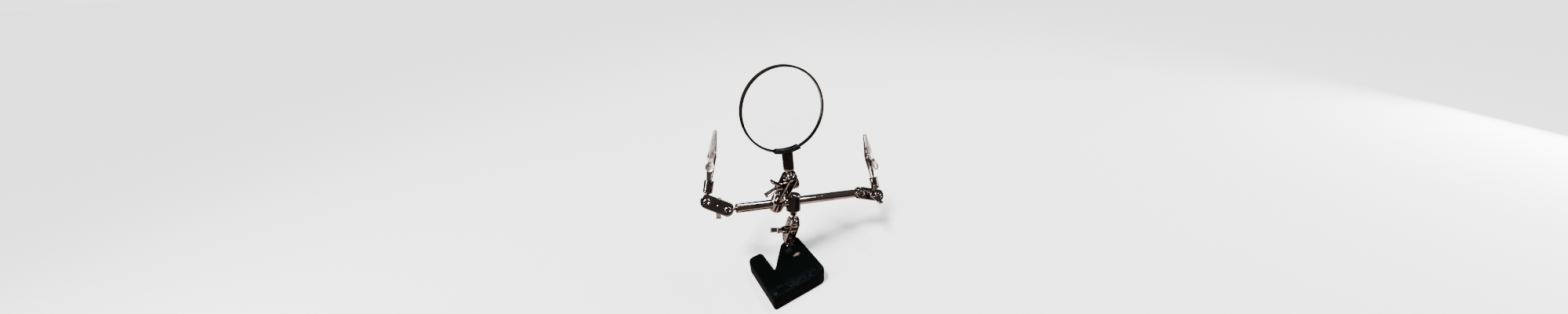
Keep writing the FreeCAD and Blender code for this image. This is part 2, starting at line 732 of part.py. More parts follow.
def build():
    """Make and save every node."""
    down = Vector(0, 0, -1)
    save(make_base(), "base_casting")
    save(place(make_base_stud(), base_ball, down, Vector(1, 0, 0)), "base_ball_stud")
    save_knuckle(("base_knuckle_screw_plate", "base_knuckle_far_plate", "base_wing_screw"),
                 base_ball, heading(base_knuckle_direction), base_normal,
                 heading(base_ear_direction), -seat_height)

    clamp_neck = clamp_to_ball - clamp_below_bar - clamp_collar_length
    clamp_stud = make_stud(clamp_neck, stud_shank_radius, stud_shank_length)
    save(place(clamp_stud, stand_ball, stand_axis, bar_axis), "stand_clamp_ball_stud")
    save(place(make_clamp(), stand_cross, stand_axis, bar_axis), "stand_clamp_body")
    save(place(make_bar(), bar_middle, bar_axis, stand_axis), "crossbar_tube")

    save(place(make_clamp(), magnifier_cross, magnifier_axis * -1, bar_axis), "magnifier_clamp_body")
    save(place(clamp_stud, clamp_ball, magnifier_axis * -1, bar_axis), "magnifier_clamp_ball_stud")
    save_knuckle(("magnifier_knuckle_screw_plate", "magnifier_knuckle_nut_plate",
                  "magnifier_wing_screw"),
                 clamp_ball, magnifier_link, magnifier_normal, heading(magnifier_ear_direction),
                 -seat_height - nut_neck_length - nut_length)
    knuckle_middle = clamp_ball + magnifier_link * (ball_spacing / 2)
    save(place(make_nut(), knuckle_middle, magnifier_normal, magnifier_link), "magnifier_grooved_nut")
    stem_stud = make_stud(stem_neck_gap, stud_shank_radius, stud_shank_length)
    save(place(stem_stud, stem_ball, stem_axis, lens_normal), "magnifier_stem_ball_stud")
    for maker, name in ((make_stem, "magnifier_stem"), (make_saddle, "magnifier_saddle"),
                        (make_lens_rim, "magnifier_rim"), (make_lens, "magnifier_lens")):
        save(place(maker(), lens_centre, lens_normal, stem_axis * -1), name)

    for side, arm in arms.items():
        outward = arm["outward"]
        save(place(make_bar_stud(), arm["bar_ball"], outward * -1, stand_axis),
             side + "_bar_ball_stud")
        save_knuckle((side + "_knuckle_screw_plate", side + "_knuckle_far_plate",
                      side + "_wing_screw"),
                     arm["bar_ball"], arm["link"], arm["normal"] * arm["screw_side"], arm["ear"],
                     -seat_height)
        clip_stud = make_stud(socket_foot, clip_stud_shank_radius, clip_stud_shank_length)
        for shape, name in ((clip_stud, "_clip_ball_stud"), (make_socket(), "_clip_socket"),
                            (make_fixed_jaw(), "_clip_fixed_jaw"),
                            (make_lever_jaw(), "_clip_lever_jaw"),
                            (make_pivot_pin(), "_clip_pivot_pin"),
                            (make_clip_spring(), "_clip_spring")):
            save(place(shape, arm["clip_ball"], arm["clip_axis"], arm["lever"]), side + name)


build()
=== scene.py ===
"""Looks of a bench third hand: cast base, ball-jointed cross bar, two spring clips, a magnifier.

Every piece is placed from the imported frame: joint axes give the knuckles, studs and clips their
places, and the nodes' boxes give the base and the lens theirs. Lengths are in metres.
"""
import json
import logging
import math
from dataclasses import dataclass, field
from enum import Enum
from typing import Callable, Iterable, Sequence

import bmesh
import bpy
import numpy as np
from mathutils import Matrix, Vector, noise
from mathutils.geometry import delaunay_2d_cdt


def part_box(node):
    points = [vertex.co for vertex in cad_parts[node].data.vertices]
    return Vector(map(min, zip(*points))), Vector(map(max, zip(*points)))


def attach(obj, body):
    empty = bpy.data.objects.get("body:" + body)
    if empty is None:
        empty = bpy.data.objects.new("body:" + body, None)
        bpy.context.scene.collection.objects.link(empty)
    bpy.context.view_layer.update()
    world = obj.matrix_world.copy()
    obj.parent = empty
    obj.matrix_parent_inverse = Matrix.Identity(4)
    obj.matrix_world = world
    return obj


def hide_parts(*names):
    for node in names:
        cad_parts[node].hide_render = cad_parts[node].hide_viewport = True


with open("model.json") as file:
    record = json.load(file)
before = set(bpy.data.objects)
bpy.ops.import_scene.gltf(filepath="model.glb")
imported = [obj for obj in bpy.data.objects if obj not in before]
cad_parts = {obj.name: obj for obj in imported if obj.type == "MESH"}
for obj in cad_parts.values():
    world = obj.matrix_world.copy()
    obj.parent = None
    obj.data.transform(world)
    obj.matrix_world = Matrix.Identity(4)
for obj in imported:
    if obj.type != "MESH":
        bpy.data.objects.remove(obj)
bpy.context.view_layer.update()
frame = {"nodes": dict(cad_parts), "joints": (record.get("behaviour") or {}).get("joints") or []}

MM = 0.001
LOG = logging.getLogger("third_hand")
Profile = Sequence[tuple[float, float]]


# ------------------------------------------------------------------------------ options
class Slot(Enum):
    """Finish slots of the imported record."""

    CAST = "cast_base"
    DARK = "black_nickel"
    BRIGHT = "bright_plate"
    SATIN = "satin_nickel"
    PAINT = "black_paint"
    WIRE = "spring_steel"
    GLASS = "optical_glass"


class Side(Enum):
    """The two ends of the cross bar."""

    LEFT = "left"
    RIGHT = "right"


class Jaw(Enum):
    """The two jaws of a clip, by the side of the bite line that they lie on."""

    FIXED = -1
    LEVER = 1


# ------------------------------------------------------------------------------ places
def joint(name: str) -> dict:
    """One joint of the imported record.

    Args:
        name: The joint's name.

    Returns:
        Its entry, with pos_m and axis.
    """
    return next(entry for entry in frame["joints"] if entry["name"] == name)


def joint_point(name: str) -> Vector:
    """A hinge's point.

    Args:
        name: The joint's name.

    Returns:
        The point on its axis, in metres.
    """
    return Vector(joint(name)["pos_m"])


def joint_axis(name: str) -> Vector:
    """A joint's axis.

    Args:
        name: The joint's name.

    Returns:
        Its unit axis.
    """
    return Vector(joint(name)["axis"]).normalized()


def node_points(node: str) -> np.ndarray:
    """A CAD node's vertices.

    Args:
        node: The node's name.

    Returns:
        An array of points, in metres.
    """
    mesh = frame["nodes"][node].data
    points = np.zeros(len(mesh.vertices) * 3)
    mesh.vertices.foreach_get("co", points)
    return points.reshape(-1, 3)


def node_middle(node: str) -> Vector:
    """Centre of a CAD node's box.

    Args:
        node: The node's name.

    Returns:
        The centre, in metres.
    """
    low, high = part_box(node)
    return (low + high) / 2


def spread_axis(node: str, across: Vector | None = None, widest: bool = True) -> Vector:
    """Main direction of a CAD node's points.

    Args:
        node: The node's name.
        across: A direction to leave out of the spread.
        widest: Take the widest spread, or the thinnest one.

    Returns:
        A unit vector along that spread.
    """
    points = node_points(node)
    points = points - points.mean(axis=0)
    if across is not None:
        line = np.array(across)
        points = points - np.outer(points @ line, line)
    _, vectors = np.linalg.eigh(points.T @ points)
    return Vector(vectors[:, -1 if widest else 0]).normalized()


@dataclass(frozen=True)
class Seat:
    """A local frame: an origin and the directions of its Z and X axes."""

    origin: Vector
    z_axis: Vector
    x_axis: Vector

    def matrix(self) -> Matrix:
        """The frame as a 4x4 matrix.

        Returns:
            The matrix that carries local points into the row frame.
        """
        z_dir = self.z_axis.normalized()
        x_dir = (self.x_axis - z_dir * self.x_axis.dot(z_dir)).normalized()
        y_dir = z_dir.cross(x_dir)
        turn = Matrix((x_dir, y_dir, z_dir)).transposed().to_4x4()
        return Matrix.Translation(self.origin) @ turn


# ------------------------------------------------------------------------------ mesh work
def arc(centre: tuple[float, float], radius: float, start: float, end: float,
        steps: int = 6) -> list[tuple[float, float]]:
    """Points of a circular arc.

    Args:
        centre: The arc's centre.
        radius: Its radius.
        start: First angle, in degrees.
        end: Last angle, in degrees.
        steps: How many chords it has.

    Returns:
        The points, ends included.
    """
    points = []
    for index in range(steps + 1):
        angle = math.radians(start + (end - start) * index / steps)
        points.append((centre[0] + radius * math.cos(angle), centre[1] + radius * math.sin(angle)))
    return points


def rounded_loop(corners: Sequence[tuple[float, float, float]],
                 steps: int = 7) -> list[tuple[float, float]]:
    """Closed outline whose corners are tangent arcs.

    Args:
        corners: (x, y, radius) of each corner, anticlockwise.
        steps: Chords in each corner.

    Returns:
        The outline's points.
    """
    loop = []
    count = len(corners)
    for index, (x, y, radius) in enumerate(corners):
        here = Vector((x, y))
        before = (Vector(corners[index - 1][:2]) - here).normalized()
        after = (Vector(corners[(index + 1) % count][:2]) - here).normalized()
        half = before.angle(after) / 2
        bisector = (before + after).normalized()
        centre = here + bisector * (radius / math.sin(half))
        start = here + before * (radius / math.tan(half)) - centre
        end = here + after * (radius / math.tan(half)) - centre
        turn = start.angle_signed(end)
        for step in range(steps + 1):
            spoke = start.copy()
            spoke.rotate(Matrix.Rotation(-turn * step / steps, 2))
            loop.append(tuple(centre + spoke))
    return loop


def smooth_mesh(mesh: bpy.types.Mesh, sharp_angle: float = 38.0) -> None:
    """Shade a mesh smooth, with its sharp edges kept.

    Args:
        mesh: The mesh.
        sharp_angle: Edges steeper than this, in degrees, stay sharp.
    """
    mesh.shade_smooth()
    mesh.set_sharp_from_angle(angle=math.radians(sharp_angle))


def mesh_from(name: str, build: bmesh.types.BMesh) -> bpy.types.Mesh:
    """Turn a bmesh into a clean mesh.

    Args:
        name: The mesh's name.
        build: The bmesh, which is freed.

    Returns:
        The mesh, with its normals outwards.
    """
    bmesh.ops.remove_doubles(build, verts=build.verts, dist=1e-7)
    bmesh.ops.recalc_face_normals(build, faces=build.faces)
    mesh = bpy.data.meshes.new(name)
    build.to_mesh(mesh)
    build.free()
    smooth_mesh(mesh)
    return mesh


def skin(build: bmesh.types.BMesh, rings: Sequence[Sequence[bmesh.types.BMVert]]) -> None:
    """Join each ring of vertices to the next one with four-sided faces.

    Args:
        build: The bmesh that holds the rings.
        rings: The rings in order, all with the same number of vertices.
    """
    for low, high in zip(rings, rings[1:]):
        count = len(low)
        for index in range(count):
            after = (index + 1) % count
            build.faces.new((low[index], low[after], high[after], high[index]))


def lathe(profile: Profile, segments: int,
          ripple: Callable[[float, float], float] | None = None) -> bmesh.types.BMesh:
    """Turned solid about Z.

    Args:
        profile: (radius, height) points; a radius of 0 closes the solid on its axis.
        segments: Steps round the axis.
        ripple: Radial change at (angle, height), for knurls and grooves.

    Returns:
        The solid as a bmesh.
    """
    build = bmesh.new()
    rings = []
    for radius, height in profile:
        ring = []
        for index in range(segments):
            angle = 2 * math.pi * index / segments
            reach = radius + (ripple(angle, height) if ripple and radius > 0 else 0.0)
            ring.append(build.verts.new((reach * math.cos(angle), reach * math.sin(angle), height)))
        rings.append(ring)
    skin(build, rings)
    bmesh.ops.remove_doubles(build, verts=build.verts, dist=1e-8)
    return build


def closed_lathe(profile: Profile, segments: int) -> bmesh.types.BMesh:
    """Turned ring whose profile closes on itself.

    Args:
        profile: (radius, height) points round the ring's section.
        segments: Steps round the axis.

    Returns:
        The ring as a bmesh.
    """
    return lathe(list(profile) + [profile[0]], segments)


def loft(sections: Sequence[Sequence[Vector]]) -> bmesh.types.BMesh:
    """Closed solid through a run of rings with equal point counts.

    Args:
        sections: Points of each ring, in order.

    Returns:
        The solid as a bmesh, with a flat face over each end.
    """
    build = bmesh.new()
    rings = [[build.verts.new(point) for point in section] for section in sections]
    skin(build, rings)
    build.faces.new(list(reversed(rings[0])))
    build.faces.new(rings[-1])
    return build


def tube_along(path: Sequence[Vector], radius: float, sides: int = 12) -> bmesh.types.BMesh:
    """Round wire along a path.

    Args:
        path: The wire's centre line.
        radius: The wire's radius.
        sides: Points round the wire.

    Returns:
        The wire as a bmesh.
    """
    sections = []
    normal = None
    for index, point in enumerate(path):
        ahead = path[min(index + 1, len(path) - 1)]
        behind = path[max(index - 1, 0)]
        tangent = (ahead - behind).normalized()
        if normal is None:
            normal = tangent.orthogonal().normalized()
        normal = (normal - tangent * normal.dot(tangent)).normalized()
        other = tangent.cross(normal)
        ring = []
        for side in range(sides):
            angle = 2 * math.pi * side / sides
            ring.append(point + (normal * math.cos(angle) + other * math.sin(angle)) * radius)
        sections.append(ring)
    return loft(sections)


def join(builds: Iterable[bmesh.types.BMesh], name: str) -> bpy.types.Mesh:
    """Gather several closed shells in one mesh.

    Args:
        builds: The shells, which are freed.
        name: The mesh's name.

    Returns:
        One mesh that holds them all.
    """
    whole = bmesh.new()
    for build in builds:
        bmesh.ops.recalc_face_normals(build, faces=build.faces)
        part = bpy.data.meshes.new(name + "_shell")
        build.to_mesh(part)
        build.free()
        whole.from_mesh(part)
        bpy.data.meshes.remove(part)
    mesh = bpy.data.meshes.new(name)
    whole.to_mesh(mesh)
    whole.free()
    smooth_mesh(mesh)
    return mesh


def with_modifier(mesh: bpy.types.Mesh, kind: str, **settings: object) -> bpy.types.Mesh:
    """Apply one modifier to a mesh.

    Args:
        mesh: The mesh, which is replaced.
        kind: The modifier's type.
        settings: Its values.

    Returns:
        The new mesh.
    """
    holder = bpy.data.objects.new(mesh.name + "_holder", mesh)
    bpy.context.scene.collection.objects.link(holder)
    modifier = holder.modifiers.new("work", kind)
    for key, value in settings.items():
        setattr(modifier, key, value)
    view = bpy.context.evaluated_depsgraph_get()
    result = bpy.data.meshes.new_from_object(holder.evaluated_get(view))
    bpy.data.objects.remove(holder)
    bpy.data.meshes.remove(mesh)
    return result


def drilled(mesh: bpy.types.Mesh, cutters: Iterable[bpy.types.Mesh]) -> bpy.types.Mesh:
    """Cut closed meshes out of a mesh.

    Args:
        mesh: The solid to cut, which is replaced.
        cutters: The solids to take away, which are removed.

    Returns:
        The cut mesh.
    """
    for cutter in cutters:
        tool = bpy.data.objects.new("cutter", cutter)
        bpy.context.scene.collection.objects.link(tool)
        mesh = with_modifier(mesh, "BOOLEAN", operation="DIFFERENCE", solver="EXACT", object=tool)
        bpy.data.objects.remove(tool)
        bpy.data.meshes.remove(cutter)
    smooth_mesh(mesh)
    return mesh


def put(name: str, mesh: bpy.types.Mesh, seat: Seat, body: str, slot: Slot,
        stands_for: Sequence[str] = ()) -> None:
    """Place a finished mesh, dress it and hang it on its body.

    Args:
        name: The piece's name.
        mesh: Its mesh, in its own frame.
        seat: Where that frame stands.
        body: The CAD body that it rides on.
        slot: Its finish.
        stands_for: CAD nodes that it is shown in place of.
    """
    mesh.transform(seat.matrix())
    mesh.name = name
    mesh.materials.clear()
    mesh.materials.append(FINISHES[slot])
    piece = bpy.data.objects.new(name, mesh)
    bpy.context.scene.collection.objects.link(piece)
    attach(piece, body)
    if stands_for:
        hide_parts(*stands_for)
    LOG.info("%s on %s, %d faces", name, body, len(mesh.polygons))


# ------------------------------------------------------------------------------ finishes
class NodeBench:
    """A material's node tree with short calls to add and join nodes."""

    def __init__(self, name: str) -> None:
        """Start a material.

        Args:
            name: The material's name.
        """
        self.material = bpy.data.materials.new(name)
        self.material.use_nodes = True
        self.tree = self.material.node_tree
        self.shader = self.tree.nodes["Principled BSDF"]
        self.place = self.add("ShaderNodeTexCoord").outputs["Object"]

    def add(self, kind: str, **settings: object) -> bpy.types.Node:
        """Add a node.

        Args:
            kind: The node's type.
            settings: Its properties.

        Returns:
            The node.
        """
        node = self.tree.nodes.new(kind)
        for key, value in settings.items():
            setattr(node, key, value)
        return node

    def link(self, source: bpy.types.NodeSocket, target: bpy.types.NodeSocket) -> None:
        """Join two sockets."""
        self.tree.links.new(source, target)

    def set(self, **values: object) -> None:
        """Set plain values on the shader's own sockets, underscores standing for spaces."""
        for key, value in values.items():
            self.shader.inputs[key.replace("_", " ")].default_value = value

    def grain(self, scale: float, detail: float = 4.0, rough: float = 0.55,
              stretch: tuple[float, float, float] = (1, 1, 1)) -> bpy.types.NodeSocket:
        """Noise over the piece.

        Args:
            scale: Noise scale, per metre.
            detail: Octaves.
            rough: Roughness of the octaves.
            stretch: Scale along each axis.

        Returns:
            The noise value.
        """
        mapping = self.add("ShaderNodeMapping")
        mapping.inputs["Scale"].default_value = stretch
        self.link(self.place, mapping.inputs["Vector"])
        texture = self.add("ShaderNodeTexNoise")
        texture.inputs["Scale"].default_value = scale
        texture.inputs["Detail"].default_value = detail
        texture.inputs["Roughness"].default_value = rough
        self.link(mapping.outputs["Vector"], texture.inputs["Vector"])
        return texture.outputs["Fac"]

    def ramp(self, value: bpy.types.NodeSocket, low: float, high: float, start: float = 0.0,
             end: float = 1.0) -> bpy.types.NodeSocket:
        """Map one span of a value onto another, held at the ends.

        Args:
            value: The value.
            low: Its span's low end.
            high: Its span's high end.
            start: Result at the low end.
            end: Result at the high end.

        Returns:
            The mapped value.
        """
        node = self.add("ShaderNodeMapRange", interpolation_type="SMOOTHSTEP")
        self.link(value, node.inputs["Value"])
        for key, number in (("From Min", low), ("From Max", high), ("To Min", start),
                            ("To Max", end)):
            node.inputs[key].default_value = number
        return node.outputs["Result"]

    def combine(self, operation: str, first: bpy.types.NodeSocket,
                second: bpy.types.NodeSocket) -> bpy.types.NodeSocket:
        """Work out one value from two.

        Args:
            operation: What a math node does with them.
            first: The first value.
            second: The second value.

        Returns:
            The result.
        """
        node = self.add("ShaderNodeMath", operation=operation)
        self.link(first, node.inputs[0])
        self.link(second, node.inputs[1])
        return node.outputs[0]

    def times(self, first: bpy.types.NodeSocket,
              second: bpy.types.NodeSocket) -> bpy.types.NodeSocket:
        """Product of two values."""
        return self.combine("MULTIPLY", first, second)

    def sum(self, first: bpy.types.NodeSocket,
            second: bpy.types.NodeSocket) -> bpy.types.NodeSocket:
        """Sum of two values."""
        return self.combine("ADD", first, second)

    def blend(self, share: bpy.types.NodeSocket, first: object,
              second: tuple[float, float, float]) -> bpy.types.NodeSocket:
        """Mix two colours.

        Args:
            share: How much of the second.
            first: A colour or a colour socket.
            second: A colour.

        Returns:
            The mixed colour.
        """
        node = self.add("ShaderNodeMix", data_type="RGBA")
        self.link(share, node.inputs["Factor"])
        if isinstance(first, tuple):
            node.inputs[6].default_value = (*first, 1)
        else:
            self.link(first, node.inputs[6])
        node.inputs[7].default_value = (*second, 1)
        return node.outputs[2]

    def bump(self, height: bpy.types.NodeSocket, strength: float, distance: float) -> None:
        """Raise the surface by a height value.

        Args:
            height: The height.
            strength: Share of the effect.
            distance: Height of a value of 1, in metres.
        """
        node = self.add("ShaderNodeBump")
        node.inputs["Strength"].default_value = strength
        node.inputs["Distance"].default_value = distance
        self.link(height, node.inputs["Height"])
        self.link(node.outputs["Normal"], self.shader.inputs["Normal"])


@dataclass(frozen=True)
class CastPaint:
    """Black paint on a rough casting, scuffed along the near edge and chipped at one spot."""

    paint: tuple[float, float, float] = (0.0006, 0.0010, 0.0009)
    scuff: tuple[float, float, float] = (0.030, 0.038, 0.048)
    bare: tuple[float, float, float] = (0.085, 0.058, 0.050)
    chip_place: tuple[float, float] = (0.0142, 0.0049)
    chip_half: tuple[float, float] = (0.0037, 0.0016)
    chip_turn: float = 4.0
    patch_place: tuple[float, float] = (0.0135, 0.0150)
    patch_half: tuple[float, float] = (0.0075, 0.0050)
    patch_turn: float = 15.0
    wear_from: float = 0.0005
    wear_full: float = 0.004
    wear_end: float = 0.0125
    corner_span: tuple[float, float] = (0.004, 0.030)
    top_span: tuple[float, float] = (0.0022, 0.0004)
    pits: float = 0.00022

    def build(self) -> bpy.types.Material:
        """Make the material.

        Returns:
            The material.
        """
        bench = NodeBench(Slot.CAST.value)
        low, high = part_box("base_casting")
        split = bench.add("ShaderNodeSeparateXYZ")
        bench.link(bench.place, split.inputs[0])
        across, depth, height = split.outputs
        near_band = bench.times(
            bench.ramp(depth, low.y + self.wear_from, low.y + self.wear_full),
            bench.ramp(depth, low.y + self.wear_full, low.y + self.wear_end, 1.0, 0.0))
        corner_from, corner_end = self.corner_span
        corner = bench.ramp(across, low.x + corner_from, low.x + corner_end, 1.0, 0.45)
        edge_wear = bench.times(near_band, corner)
        patch = self.spot(bench, self.patch_place, self.patch_half, self.patch_turn)
        fleck = bench.ramp(bench.grain(1400.0, 5.0, 0.7), 0.53, 0.60)
        scuffed = bench.times(bench.ramp(bench.grain(260.0, 3.0, 0.6), 0.42, 0.56), fleck)
        top_from, top_full = self.top_span
        top = bench.ramp(height, high.z - top_from, high.z - top_full)
        worn = bench.times(bench.times(scuffed, bench.sum(edge_wear, patch)), top)
        colour = bench.blend(worn, self.paint, self.scuff)
        rough_edge = bench.ramp(bench.grain(700.0, 3.0), 0.3, 0.7, -0.22, 0.22)
        chip = bench.times(self.spot(bench, self.chip_place, self.chip_half, self.chip_turn,
                                     rough_edge), top)
        colour = bench.blend(chip, colour, self.bare)
        bench.link(colour, bench.shader.inputs["Base Color"])
        gloss = bench.ramp(bench.grain(1500.0, 3.0), 0.3, 0.7, 0.46, 0.70)
        bench.link(gloss, bench.shader.inputs["Roughness"])
        bench.set(Specular_IOR_Level=0.010)
        bench.bump(bench.grain(1150.0, 5.0, 0.6), 0.55, self.pits)
        return bench.material

    @staticmethod
    def spot(bench: NodeBench, place: tuple[float, float], half: tuple[float, float],
             turn: float, wobble: bpy.types.NodeSocket | None = None) -> bpy.types.NodeSocket:
        """Soft-edged ellipse seen from above.

        Args:
            bench: The node tree.
            place: The ellipse's centre.
            half: Its half lengths.
            turn: Angle of its long half, in degrees.
            wobble: A value that breaks up its edge.

        Returns:
            1 inside and 0 outside.
        """
        mapping = bench.add("ShaderNodeMapping", vector_type="TEXTURE")
        mapping.inputs["Location"].default_value = (*place, 0)
        mapping.inputs["Rotation"].default_value = (0, 0, math.radians(turn))
        mapping.inputs["Scale"].default_value = (*half, 1)
        bench.link(bench.place, mapping.inputs["Vector"])
        flat = bench.add("ShaderNodeVectorMath", operation="MULTIPLY")
        flat.inputs[1].default_value = (1, 1, 0)
        bench.link(mapping.outputs["Vector"], flat.inputs[0])
        reach = bench.add("ShaderNodeVectorMath", operation="LENGTH")
        bench.link(flat.outputs["Vector"], reach.inputs[0])
        value = reach.outputs["Value"]
        if wobble is not None:
            value = bench.sum(value, wobble)
        return bench.ramp(value, 0.75, 1.05, 1.0, 0.0)


@dataclass(frozen=True)
class PlatedMetal:
    """Polished plate with fine handling marks."""

    slot: Slot
    colour: tuple[float, float, float]
    shade: tuple[float, float, float]
    gloss: tuple[float, float]
    marks: float = 0.10
    edge: tuple[float, float, float] = (0.95, 0.82, 0.75)
    draw: tuple[float, float, float] = (1, 1, 1)
    cloud_scale: float = 95.0
    smear_scale: float = 420.0
    mark_scale: float = 2200.0
    mark_depth: float = 0.00003

    def build(self) -> bpy.types.Material:
        """Make the material.

        Returns:
            The material.
        """
        bench = NodeBench(self.slot.value)
        cloud = bench.ramp(bench.grain(self.cloud_scale, 4.0), 0.35, 0.70)
        bench.link(bench.blend(cloud, self.colour, self.shade), bench.shader.inputs["Base Color"])
        smear = bench.grain(self.smear_scale, 6.0, 0.65, self.draw)
        bench.link(bench.ramp(smear, 0.35, 0.72, *self.gloss), bench.shader.inputs["Roughness"])
        bench.set(Metallic=1.0, Specular_Tint=(*self.edge, 1))
        bench.bump(bench.grain(self.mark_scale, 2.0, 0.5, self.draw), self.marks,
                   self.mark_depth)
        return bench.material


@dataclass(frozen=True)
class BlackPaint:
    """Satin black paint on a pressed bracket."""

    colour: tuple[float, float, float] = (0.0015, 0.0016, 0.0018)
    rubbed: tuple[float, float, float] = (0.004, 0.004, 0.0045)
    gloss: tuple[float, float] = (0.30, 0.46)

    def build(self) -> bpy.types.Material:
        """Make the material.

        Returns:
            The material.
        """
        bench = NodeBench(Slot.PAINT.value)
        tint = bench.ramp(bench.grain(500.0, 4.0), 0.3, 0.7)
        bench.link(bench.blend(tint, self.colour, self.rubbed), bench.shader.inputs["Base Color"])
        bench.link(bench.ramp(bench.grain(900.0, 3.0), 0.3, 0.7, *self.gloss),
                   bench.shader.inputs["Roughness"])
        bench.set(Specular_IOR_Level=0.25)
        bench.bump(bench.grain(1800.0, 3.0), 0.25, 0.00004)
        return bench.material


@dataclass(frozen=True)
class LensGlass:
    """Clear polished glass with a faint green cast and a little dust."""

    tint: tuple[float, float, float] = (0.975, 0.992, 0.985)
    dusty: tuple[float, float, float] = (0.93, 0.94, 0.93)
    haze: float = 0.12

    def build(self) -> bpy.types.Material:
        """Make the material.

        Returns:
            The material.
        """
        bench = NodeBench(Slot.GLASS.value)
        dust = bench.ramp(bench.grain(2600.0, 4.0, 0.7), 0.62, 0.80)
        bench.link(bench.blend(dust, self.tint, self.dusty), bench.shader.inputs["Base Color"])
        bench.link(bench.ramp(dust, 0.0, 1.0, 0.0, self.haze), bench.shader.inputs["Roughness"])
        bench.set(Transmission_Weight=1.0, IOR=1.52)
        return bench.material


FINISHES: dict[Slot, bpy.types.Material] = {}


def make_finishes() -> None:
    """Build every finish once."""
    recipes = {
        Slot.CAST: CastPaint(),
        Slot.DARK: PlatedMetal(Slot.DARK, (0.25, 0.21, 0.195), (0.17, 0.138, 0.126), (0.05, 0.13)),
        Slot.BRIGHT: PlatedMetal(Slot.BRIGHT, (0.34, 0.285, 0.262), (0.25, 0.205, 0.187),
                                 (0.06, 0.13), draw=(1, 1, 0.1)),
        Slot.SATIN: PlatedMetal(Slot.SATIN, (0.38, 0.31, 0.28), (0.25, 0.195, 0.175),
                                (0.26, 0.42), 0.2),
        Slot.PAINT: BlackPaint(),
        Slot.WIRE: PlatedMetal(Slot.WIRE, (0.45, 0.41, 0.39), (0.34, 0.30, 0.28), (0.12, 0.24)),
        Slot.GLASS: LensGlass(),
    }
    for slot, recipe in recipes.items():
        FINISHES[slot] = recipe.build()


# ------------------------------------------------------------------------------ slabs
def slab(outline: Callable[[float], list[tuple[float, float]]], insets: Sequence[float],
         holes: Sequence[tuple[tuple[float, float], Sequence[float]]], pitch: float,
         top: Callable[[float, float], float],
         bottom: Callable[[float, float], float]) -> bmesh.types.BMesh:
    """Flat piece with shaped faces, meshed finely enough for its edge rounding and crown.

    Args:
        outline: Outline at a given inset from the edge.
        insets: Insets to run mesh lines along, 0 first.
        holes: Centre and growing radii of each round hole; the first radius is the hole's own.
        pitch: Spacing of the inner points.
        top: Height of the upper face at a point.
        bottom: Height of the lower face at a point.

    Returns:
        The piece as a bmesh.
    """
    points: list[Vector] = []
    edges: list[tuple[int, int]] = []
    clearance = 0.4 * pitch

    def add_loop(loop: Sequence[tuple[float, float]]) -> None:
        """Add one closed run of mesh lines.

        Args:
            loop: Its points.
        """
        first = len(points)
        points.extend(Vector(point) for point in loop)
        for index in range(len(loop)):
            edges.append((first + index, first + (index + 1) % len(loop)))

    for inset in insets:
        add_loop(outline(inset))
    for centre, radii in holes:
        for radius in radii:
            add_loop(arc(centre, radius, 0, 360, 40)[:-1])
    inner = outline(insets[-1] + clearance)
    low = Vector((min(x for x, _ in inner), min(y for _, y in inner)))
    high = Vector((max(x for x, _ in inner), max(y for _, y in inner)))
    columns = int((high.x - low.x) / pitch) + 1
    rows = int((high.y - low.y) / pitch) + 1
    for column in range(1, columns):
        for row in range(1, rows):
            point = Vector((low.x + (high.x - low.x) * column / columns,
                            low.y + (high.y - low.y) * row / rows))
            clear = all((point - Vector(centre)).length > radii[-1] + clearance
                        for centre, radii in holes)
            if clear and inside(point, inner):
                points.append(point)
    flat, _, faces, _, _, _ = delaunay_2d_cdt(points, edges, [], 0, 1e-7)
    border = outline(insets[0])
    build = bmesh.new()
    upper = [build.verts.new((x, y, top(x, y))) for x, y in flat]
    lower = [build.verts.new((x, y, bottom(x, y))) for x, y in flat]
    for face in faces:
        middle = sum((flat[index] for index in face), Vector((0, 0))) / len(face)
        if any((middle - Vector(centre)).length < radii[0] for centre, radii in holes):
            continue
        if not inside(middle, border):
            continue
        build.faces.new([upper[index] for index in face])
        build.faces.new([lower[index] for index in reversed(face)])
    partner = {vert: lower[index] for index, vert in enumerate(upper)}
    rims = [edge for edge in build.edges
            if len(edge.link_faces) == 1 and edge.verts[0] in partner]
    for edge in rims:
        first, second = edge.verts
        build.faces.new((second, first, partner[first], partner[second]))
    loose = [vert for vert in build.verts if not vert.link_faces]
    bmesh.ops.delete(build, geom=loose, context="VERTS")
    bmesh.ops.recalc_face_normals(build, faces=build.faces)
    return build


def inside(point: Vector, loop: Sequence[tuple[float, float]]) -> bool:
    """Whether a point lies inside a closed outline.

    Args:
        point: The point.
        loop: The outline.

    Returns:
        True when it is inside.
    """
    found = False
    for index, (x, y) in enumerate(loop):
        x_before, y_before = loop[index - 1]
        if (y > point.y) != (y_before > point.y):
            cross = (x_before - x) * (point.y - y) / (y_before - y) + x
            if point.x < cross:
                found = not found
    return found


def edge_distance(outline: Sequence[tuple[float, float]]) -> Callable[[float, float], float]:
    """Distance in from a closed outline.

    Args:
        outline: The outline.

    Returns:
        A function of x and y.
    """
    starts = np.array(outline)
    ends = np.roll(starts, -1, axis=0)
    spans = ends - starts
    squares = np.maximum((spans ** 2).sum(axis=1), 1e-18)

    def distance(x: float, y: float) -> float:
        """Distance from a point to the nearest stretch of the outline.

        Args:
            x: The point's place along X.
            y: The point's place along Y.

        Returns:
            The distance.
        """
        offset = np.array((x, y)) - starts
        share = np.clip((offset * spans).sum(axis=1) / squares, 0, 1)
        return float(np.sqrt(((offset - spans * share[:, None]) ** 2).sum(axis=1).min()))

    return distance


def rounded_fall(distance: float, radius: float) -> float:
    """How far a rounded edge lies below its face.

    Args:
        distance: Distance in from the edge.
        radius: The edge's radius.

    Returns:
        The fall.
    """
    if distance >= radius:
        return 0.0
    return radius - math.sqrt(max(radius * radius - (radius - distance) ** 2, 0.0))


